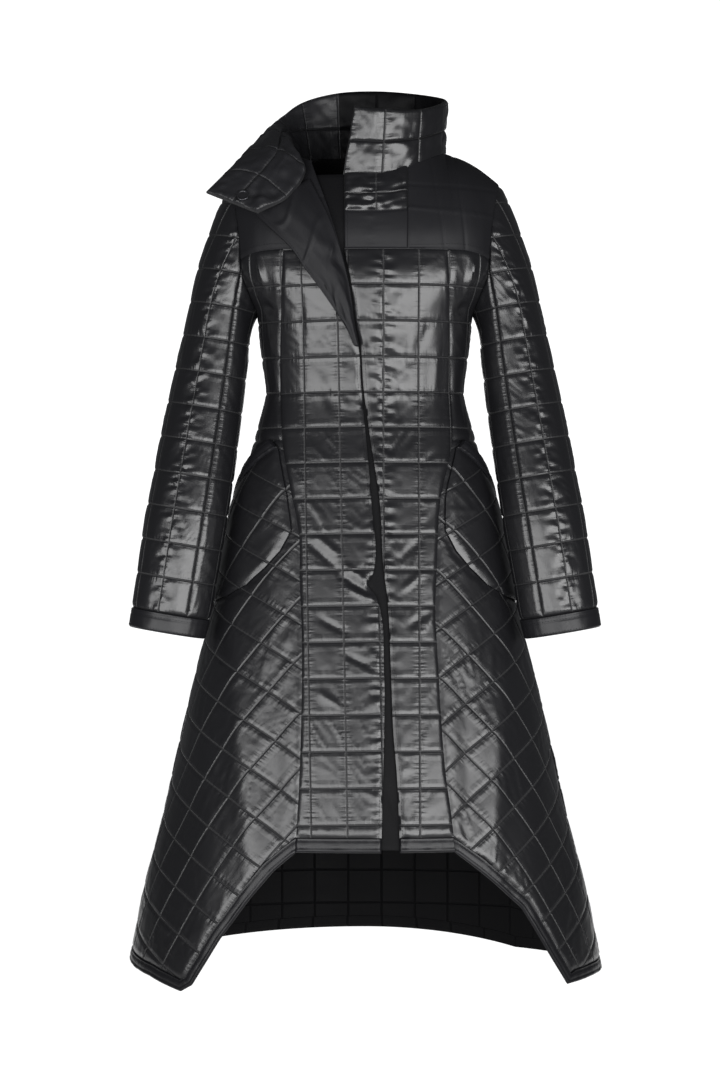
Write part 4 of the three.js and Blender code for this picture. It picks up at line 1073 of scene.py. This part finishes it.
def yoke_angle(x, up, rear=False):
    x, up = np.broadcast_arrays(np.asarray(x, float), np.asarray(up, float))
    low, high = np.zeros(x.shape), np.full(x.shape, ARM_ANGLE)
    for _ in range(24):
        middle = (low + high) / 2
        short = yoke_point(middle, up, rear)[..., 0] < x
        low, high = np.where(short, middle, low), np.where(short, high, middle)
    return low


# Depth of the fronts' cloth above the yoke seam, worked out once on a net of places
DEPTH_X = np.linspace(-175, 65, 81)
DEPTH_Z = np.linspace(YOKE_Z, 20, 49)


def yoke_depths():
    x, z = np.meshgrid(DEPTH_X, DEPTH_Z, indexing="ij")
    low, high = np.zeros(x.shape), np.ones(x.shape)
    for _ in range(18):
        middle = (low + high) / 2
        short = yoke_point(yoke_angle(np.abs(x), middle), middle, False)[..., 2] < z
        low, high = np.where(short, middle, low), np.where(short, high, middle)
    return yoke_point(yoke_angle(np.abs(x), low), low, False)[..., 1]


YOKE_DEPTHS = yoke_depths()


def front_depth(x, z):
    x, z = np.broadcast_arrays(np.asarray(x, float), np.asarray(z, float))
    i = np.clip((x - DEPTH_X[0]) / (DEPTH_X[1] - DEPTH_X[0]), 0, len(DEPTH_X) - 1.001)
    j = np.clip((z - DEPTH_Z[0]) / (DEPTH_Z[1] - DEPTH_Z[0]), 0, len(DEPTH_Z) - 1.001)
    a, b = i.astype(int), j.astype(int)
    s, t = i - a, j - b
    low, high = (mix(YOKE_DEPTHS[a, k], YOKE_DEPTHS[a + 1, k], s) for k in (b, b + 1))
    above = mix(low, high, t)
    ratio = np.clip(np.abs(x) / sample(BODY, z, "half"), 0, 1)
    below = ring_point(z, np.sign(x) * np.arcsin(ratio ** (sample(BODY, z, "square") / 2)))[..., 1]
    return np.where(z < YOKE_Z, below, above)


def yoke_height(surface, lines, seed):
    """Plain yoke cloth with thin lines sewn across it, given by their ends as seen from the front."""

    def height(u, v):
        p = surface(u, v)
        h = rounded(u, v, 130, 110, YOKE_CLOTH, 3)
        for x0, z0, x1, z1, deep in lines:
            run, rise = x1 - x0, z1 - z0
            off = ((p[..., 0] - x0) * rise - (p[..., 2] - z0) * run) / math.hypot(run, rise)
            h = h - deep * np.exp(-((off / 1.7) ** 2))
        return h + 0.5 * noise(u * 3, v * 3, seed) + 0.25 * noise(u * 11, v * 7, seed + 1)

    return height


def yokes():
    def right(u, v):
        z = mix(YOKE_Z, -24, v)
        start = yoke_angle(-sample(EDGE_X["right"], z, "x"), v)
        return yoke_point(mix(start, ARM_ANGLE, u), v, False) * np.array([-1, 1, 1])

    def left(u, v):
        return yoke_point(mix(yoke_angle(PLACKET_X, v), ARM_ANGLE, u), v, False)

    def rear(u, v):
        turn = (2 * u - 1) * ARM_ANGLE
        p = yoke_point(np.abs(turn), v, True)
        return spot(np.where(turn < 0, -1, 1) * p[..., 0], p[..., 1], p[..., 2])

    def strip(u, v):
        x = mix(PLACKET_EDGE, PLACKET_X, u)
        p = yoke_point(yoke_angle(np.abs(x), v), v, False)
        return spot(np.where(x < 0, -1, 1) * p[..., 0], p[..., 1], p[..., 2])

    # Ends of each line and its depth; the left yoke's last one is a raised seam
    on_right = [(-60, -52, -190, -60, 0.8)]
    on_left = [
        (60, -33, 190, -38, 0.8),
        (94, -10, 110, -110, 0.8),
        (128, -8, 140, -110, 0.8),
        (54, -66, 184, -76, -1.0),
    ]
    on_back = [(-190, -62, 190, -62, 0.8), (-190, -20, 190, -20, 0.8)]
    for name, cloth, columns, lines, seed, flip in (
        ("yoke_right", right, 72, on_right, 51, -1),
        ("yoke_left", left, 72, on_left, 52, 1),
        ("yoke_back", rear, 150, on_back, 53, -1),
    ):
        wall(name, MATTE, cloth, columns, 56, (1, 1), yoke_height(cloth, lines, seed), side=flip,
             sewing=sewn_across(0.04, inset=0.02))

    def padded(u, v):
        gap = np.minimum(np.minimum(u, 1 - u) * 90, np.minimum(v, 1 - v) * 118)
        upper = smooth((v - SHINY) * 16) * (1 - smooth((v - 0.84) * 8))
        ridge = 2.2 * noise(u * 1.6 + v * 2 + 4, v * 17 - u * 2.5, 54)
        ridge = ridge + 1.3 * noise(u * 9 + v * 6, v * 9 - u * 4, 55)
        side_of_line = np.exp(-np.abs(u - 0.42) * 90 / 9)
        gather = noise(u * 3, v * 26, 56) * side_of_line * 1.6
        body, _ = padding(u * 2 + 0.16, v * 3, 45, 40, 54)
        h = rounded(u, v, 90, 110, YOKE_CLOTH, 3) + upper * smooth(gap / 6) * (1.6 * body + ridge)
        return h + 1.2 * gather * (0.35 + 0.65 * upper) - 0.9 * np.exp(-(((v - SHINY) * 110 / 1.7) ** 2))

    wall("placket", SHELL, strip, 60, 72, (2, 3), padded, sewing=[[(0.05, 0.02), (0.05, 0.98)]],
         lower=MATTE, lower_to=SHINY)


# Sleeves
def armhole_table():
    steps = np.arange(13) / 12
    angle = np.radians(ARMHOLE["angle"])
    loop = np.concatenate(
        [
            yoke_point(ARM_ANGLE, 1 - steps, False),
            ring_point(ARMHOLE["z"][1:], angle[1:]),
            ring_point(ARMHOLE["z"][1:-1], math.pi - angle[1:-1])[::-1],
            yoke_point(ARM_ANGLE, steps[:-1], True),
        ]
    )
    turn = np.arctan2(loop[:, 2] + 114, 6 - loop[:, 1])
    turn = np.where(turn < -math.pi / 2, turn + 2 * math.pi, turn)
    order = np.argsort(turn)
    return turn[order], loop[order]


ARM_TURN, ARM_LOOP = armhole_table()


def armhole_at(turn):
    want = (turn + math.pi / 2) % (2 * math.pi) - math.pi / 2
    places = [np.interp(want, ARM_TURN, ARM_LOOP[:, k], period=2 * math.pi) for k in range(3)]
    return np.stack(places, axis=-1)


def tube_point(turn, length):
    z = SHOULDER_Z - length * math.cos(LEAN)
    out = sample(SLEEVE, z, "wide") * np.sin(turn)
    y = sample(SLEEVE, z, "y") - sample(SLEEVE, z, "deep") * np.cos(turn)
    return spot(sample(SLEEVE, z, "x") + out * math.cos(LEAN), y, z + out * math.sin(LEAN))


def cap_table():
    turn = np.radians(np.arange(121) * 3.0)
    up = np.sin(turn)
    stand = mix(0.6, np.where(up > 0, 0.0, 1.5), np.abs(up))
    edge = armhole_at(turn) + stand[:, None] * np.array([1.0, 0, 0])
    start = tube_point(0.0, 0.0)[0]
    length = (edge[:, 0] - start) * math.sin(LEAN) - (edge[:, 2] - SHOULDER_Z) * math.cos(LEAN)
    return turn, length, edge - tube_point(turn, length)


CAP_TURN, CAP_LENGTH, CAP_SHIFT = cap_table()


def cap_length(turn):
    return np.interp(turn % (2 * math.pi), CAP_TURN, CAP_LENGTH)


def sleeve_point(turn, length):
    wrapped = turn % (2 * math.pi)
    shift = np.stack([np.interp(wrapped, CAP_TURN, CAP_SHIFT[:, k]) for k in range(3)], axis=-1)
    reach = mix(CAP_FOOT, CAP_TOP, smooth(np.sin(turn) * 0.5 + 0.5))
    fall = np.clip(1 - (length - cap_length(turn)) / reach, 0, 1.2) ** 2
    return tube_point(turn, length) + shift * fall[..., None]


def sleeve(side):
    flip = OUT[side]
    out = np.array([flip, 1, 1])

    def cloth(x, y):
        return sleeve_point(x / FLAT_RADIUS, -y) * out

    for part, first, columns, marked in (("upper", -1, 5, (0,)), ("under", 4, 3, ())):
        start = SLEEVE_TURN + first * COLUMN
        a = start + SEAM / FLAT_RADIUS
        b = start + columns * COLUMN - SEAM / FLAT_RADIUS
        foot = -SLEEVE_LENGTH + SEAM
        turns = np.linspace(a, b, columns * 6 + 1)
        top = line_of(turns * FLAT_RADIUS, -cap_length(turns) - 2 * SEAM)
        sides = [
            line_of(turn * FLAT_RADIUS, levels(-cap_length(turn) - 2 * SEAM, foot)[1:-1]) for turn in (b, a)
        ]
        bottom = line_of(np.linspace(b, a, columns * 2 + 1) * FLAT_RADIUS, foot)
        outline = np.array([*top, *sides[0], *bottom, *sides[1][::-1]])
        corner = (SLEEVE_TURN * FLAT_RADIUS + 0.11, -SLEEVE_LENGTH - 0.23)
        quilt = (COLUMN * FLAT_RADIUS, SLEEVE_CELL, 0.0, corner)
        quilted(f"sleeve_{part}_{side}", outline, quilt, cloth, side=flip, strong=marked,
                drags=(0.5 * flip, 0.9))

    def cuff(u, v):
        return sleeve_point(SLEEVE_TURN + u * 2 * math.pi, SLEEVE_LENGTH + CUFF_LENGTH * (1 - v)) * out

    band = band_height(1e4, CUFF_LENGTH, BAND, 61, (0.72, 0.86))
    wall("cuff_" + side, BINDING, cuff, 128, 14, (8, 1), lambda u, v: band(u * 0.03 + 0.4, v),
         side=flip, wrap=True, sewing=sewn_across(0.72, 0.86, 0.14, inset=0.0))


# Collar, standing on the wearer's left and flipped outwards on the right
def collar_point(i, j):
    base = spot(*(sample(COLLAR, i, name) for name in ("bx", "by", "bz")))
    top = spot(*(sample(COLLAR, i, name) for name in ("tx", "ty", "tz")))
    arch = COLLAR_ROLL * smooth((i - 7) / 4) * (1 - smooth((i - 11.5) / 1.5)) * 4 * j * (1 - j)
    return mix(base, top, np.asarray(j)[..., None]) + spot(arch * 0.25, 0, arch)


def collar():
    def face(seed, calm, rough):
        def height(u, v):
            body, gather = padding(u * COLLAR_COLUMNS, v * 2, 49, 47, seed, calm=calm)
            gap = np.minimum(np.minimum(u, 1 - u) * 640, np.minimum(v, 1 - v) * 95)
            t = np.sqrt(1 - (1 - np.clip(gap / 7, 0, 1)) ** 2)
            drag = noise(u * 30 + v * 6, v * 2.6 - u * 8, seed + 9)
            drag = drag + 0.6 * noise(u * 70 - v * 5, v * 7, seed + 10)
            low = 0.5 + 0.5 * (v < 0.5)
            rim = noise(u * 60, v * 2, seed + 11) * smooth((v - 0.8) * 5)
            flipped = 1 + smooth((u - 0.62) * 5)
            # Sharp wrinkles on the folded-out end, short of the snap
            crest = np.clip(1 - np.abs(noise(u * 24 + v * 3, v * 4 - u * 9, seed + 12)) * 4, 0, 1)
            drag = drag + 0.45 * (flipped - 1) * crest * smooth((0.93 - u) * 20)
            filled = (0.4 + 0.6 * t) * COLLAR_PUFF * (0.25 + 0.85 * body)
            return filled + (gather + rough * low * flipped * drag + rim) * t

        return height

    def surface(u, v):
        return collar_point(u * COLLAR_COLUMNS, mix(COLLAR_FOOT, 1, v))

    outer, under = face(71, 0.6, 1.5), face(83, 0.9, 1.9)
    # The inner side short of FACE_START gets the dark lining, painted shade inside the standing collar; the
    # flipped end shows the facing
    wall("collar", SHELL, surface, 220, 44, (COLLAR_COLUMNS, 2), lambda u, v: STITCH + outer(u, v),
         lambda u, v: -under(u, v), bend=False, sewing=sewn_across(0.95),
         inner=FACE, lower=LINING_AND_PAINTED_SHADE, deep_to=FACE_START / COLLAR_COLUMNS)


def lapel():
    def surface(u, v):
        rz, rx, oz, ox = (sample(LAPEL, v * 7, name) for name in ("rz", "rx", "oz", "ox"))
        x, z = mix(rx, ox, u), mix(rz, oz, u)
        arch = 7 * np.sin(math.pi * np.clip(u, 0, 1)) * v * 7 / 8
        root = 3 + 3 * smooth((v * 7 - 3) / 3)
        return spot(x, front_depth(x, z) - mix(root, 11, smooth(u * 3)) - arch, z)

    def height(u, v):
        fan = noise(u * 1.5 + v * 5 + 3, v * 3 - u * 3.5, 91)
        fan = fan + 0.5 * noise(u * 4 + v * 9, v * 6 - u * 6, 92)
        ridge = np.clip(1 - np.abs(noise(u * 1.2 - v * 3 + 7, v * 6 + u * 2, 93)) * 3.5, 0, 1)
        middle = smooth(np.minimum(u, 1 - u) * 5) * smooth((v - 0.05) * 5)
        return rounded(u, v, 70, 220, FACING, 2) + (2.0 * fan + 1.5 * ridge) * middle

    wall("lapel", MATTE, surface, 70, 130, (1, 1), height, side=-1, bend=False,
         sewing=[[(0.93, 0.02), (0.93, 0.98)]])


def underlap():
    def cloth(u, v):
        z = mix(-16, FRONT_HEM_Z + 4, v)
        x = sample(EDGE_X["left"], z, "x") + mix(12, -46, u)
        return spot(x, front_depth(x, z), z)

    def surface(u, v):
        d = 1e-3
        n = np.cross(cloth(u + d, v) - cloth(u - d, v), cloth(u, v + d) - cloth(u, v - d))
        n /= np.linalg.norm(n, axis=-1, keepdims=True)
        return cloth(u, v) - n * (FACING + LAP_GAP)

    # The underlap wears the darkened strip finish: painted shade in the gap between the fronts
    wall("underlap", STRIP_IN_PAINTED_SHADE, surface, 20, 260, (1, 1), lambda u, v: rounded(u, v, 58, 940, FACING),
         sewing=[[(0.93, 0.002), (0.93, 0.998)]])


# Round snap on the flipped collar end: a turned cap with a rolled rim and a dimple
def snap():
    at = [np.array(share) for share in SNAP_PLACE]
    d = 1e-3
    along = collar_point(at[0] + d, at[1]) - collar_point(at[0] - d, at[1])
    across = collar_point(at[0], at[1] + d) - collar_point(at[0], at[1] - d)
    n = -np.cross(along, across)
    n /= np.linalg.norm(n)
    place = Vector((collar_point(*at) + n * (COLLAR_PUFF + 1.9)) * 0.001)
    turn = Vector(n).to_track_quat("Z", "Y")
    bpy.ops.object.select_all(action="DESELECT")
    bpy.ops.mesh.primitive_cylinder_add(
        vertices=48, radius=SNAP_RADIUS, depth=SNAP_HEIGHT, location=place, rotation=turn.to_euler()
    )
    thing = bpy.context.object
    thing.name = "snap_cap"
    bpy.ops.object.transform_apply(location=True, rotation=True, scale=True)
    bpy.ops.object.mode_set(mode="EDIT")
    bpy.ops.mesh.select_mode(type="FACE")

    def top_cap(face):
        return (face.center - place).dot(Vector(n)) - (0 if len(face.vertices) > 40 else 1)

    for inset, lift in ((0.0022, 0.0), (0.0012, -0.0009), (0.0032, 0.0003)):
        bpy.ops.mesh.select_all(action="DESELECT")
        bpy.ops.object.mode_set(mode="OBJECT")
        max(thing.data.polygons, key=top_cap).select = True
        bpy.ops.object.mode_set(mode="EDIT")
        bpy.ops.mesh.inset(thickness=inset, depth=lift)
    bpy.ops.object.mode_set(mode="OBJECT")
    bevel = thing.modifiers.new("rim", "BEVEL")
    bevel.width = 0.0006
    bevel.segments = 3
    bpy.ops.object.modifier_apply(modifier="rim")
    bpy.ops.object.shade_smooth_by_angle(angle=math.radians(40))
    thing.data.materials.append(STEEL)
    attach(thing, "root")
    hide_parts("snap")


for side in ("right", "left"):
    front(side)
    side_panel(side)
    skirt(side)
    sleeve(side)
centre_back()
yokes()
underlap()
collar()
lapel()
snap()


# Studio: one pale sweep for floor and backdrop, and soft lights to both sides of the camera
# Pale paper floor, rising far behind the coat, and soft light from large boxes beside the camera
FLOOR_Z, FLOOR_HALF, FLOOR_FRONT, FLOOR_REAR = -1.2, 2.0, -1.1, 8.4
RISE_RADIUS, RISE_TOP = 0.9, 2.8


def sweep():
    profile = [(FLOOR_FRONT, FLOOR_Z), (FLOOR_REAR, FLOOR_Z)]
    for t in np.linspace(0.1, math.pi / 2, 12):
        profile.append((FLOOR_REAR + RISE_RADIUS * math.sin(t), FLOOR_Z + RISE_RADIUS * (1 - math.cos(t))))
    profile.append((FLOOR_REAR + RISE_RADIUS, RISE_TOP))
    points = [(x, y, z) for y, z in profile for x in (-FLOOR_HALF, FLOOR_HALF)]
    faces = [(2 * k, 2 * k + 1, 2 * k + 3, 2 * k + 2) for k in range(len(profile) - 1)]
    mesh = bpy.data.meshes.new("sweep")
    mesh.from_pydata(points, [], faces)
    mesh.polygons.foreach_set("use_smooth", [True] * len(faces))
    thing = bpy.data.objects.new("sweep", mesh)
    bpy.context.collection.objects.link(thing)
    paper = finish("pale paper", (0.3, 0.3, 0.3), 0.9, 0.1)
    shader = paper.node_tree.nodes["Principled BSDF"]
    shader.inputs["Emission Color"].default_value = (1, 1, 1, 1)
    shader.inputs["Emission Strength"].default_value = 0.95
    mesh.materials.append(paper)


def softbox(name, place, aim, size, power):
    data = bpy.data.lights.new(name, "AREA")
    data.shape = "RECTANGLE"
    data.size, data.size_y = size
    data.energy = power
    lamp = bpy.data.objects.new(name, data)
    lamp.location = place
    lamp.rotation_euler = (Vector(aim) - Vector(place)).to_track_quat("-Z", "Y").to_euler()
    bpy.context.collection.objects.link(lamp)


sweep()
softbox("left box", (-2.35, -3.6, -0.9), (0, 0, -0.5), (3.4, 2.7), 440)
softbox("right box", (2.4, -3.6, -0.9), (0, 0, -0.5), (3.6, 2.7), 560)
softbox("front box", (0.2, -6.4, -0.9), (0, 0, -0.5), (3.2, 3.4), 400)
world = bpy.data.worlds.new("studio")
bpy.context.scene.world = world
world.use_nodes = True
world.node_tree.nodes["Background"].inputs["Color"].default_value = (0.9, 0.92, 0.95, 1)
world.node_tree.nodes["Background"].inputs["Strength"].default_value = 0.12
bpy.context.scene.view_settings.view_transform = "Standard"
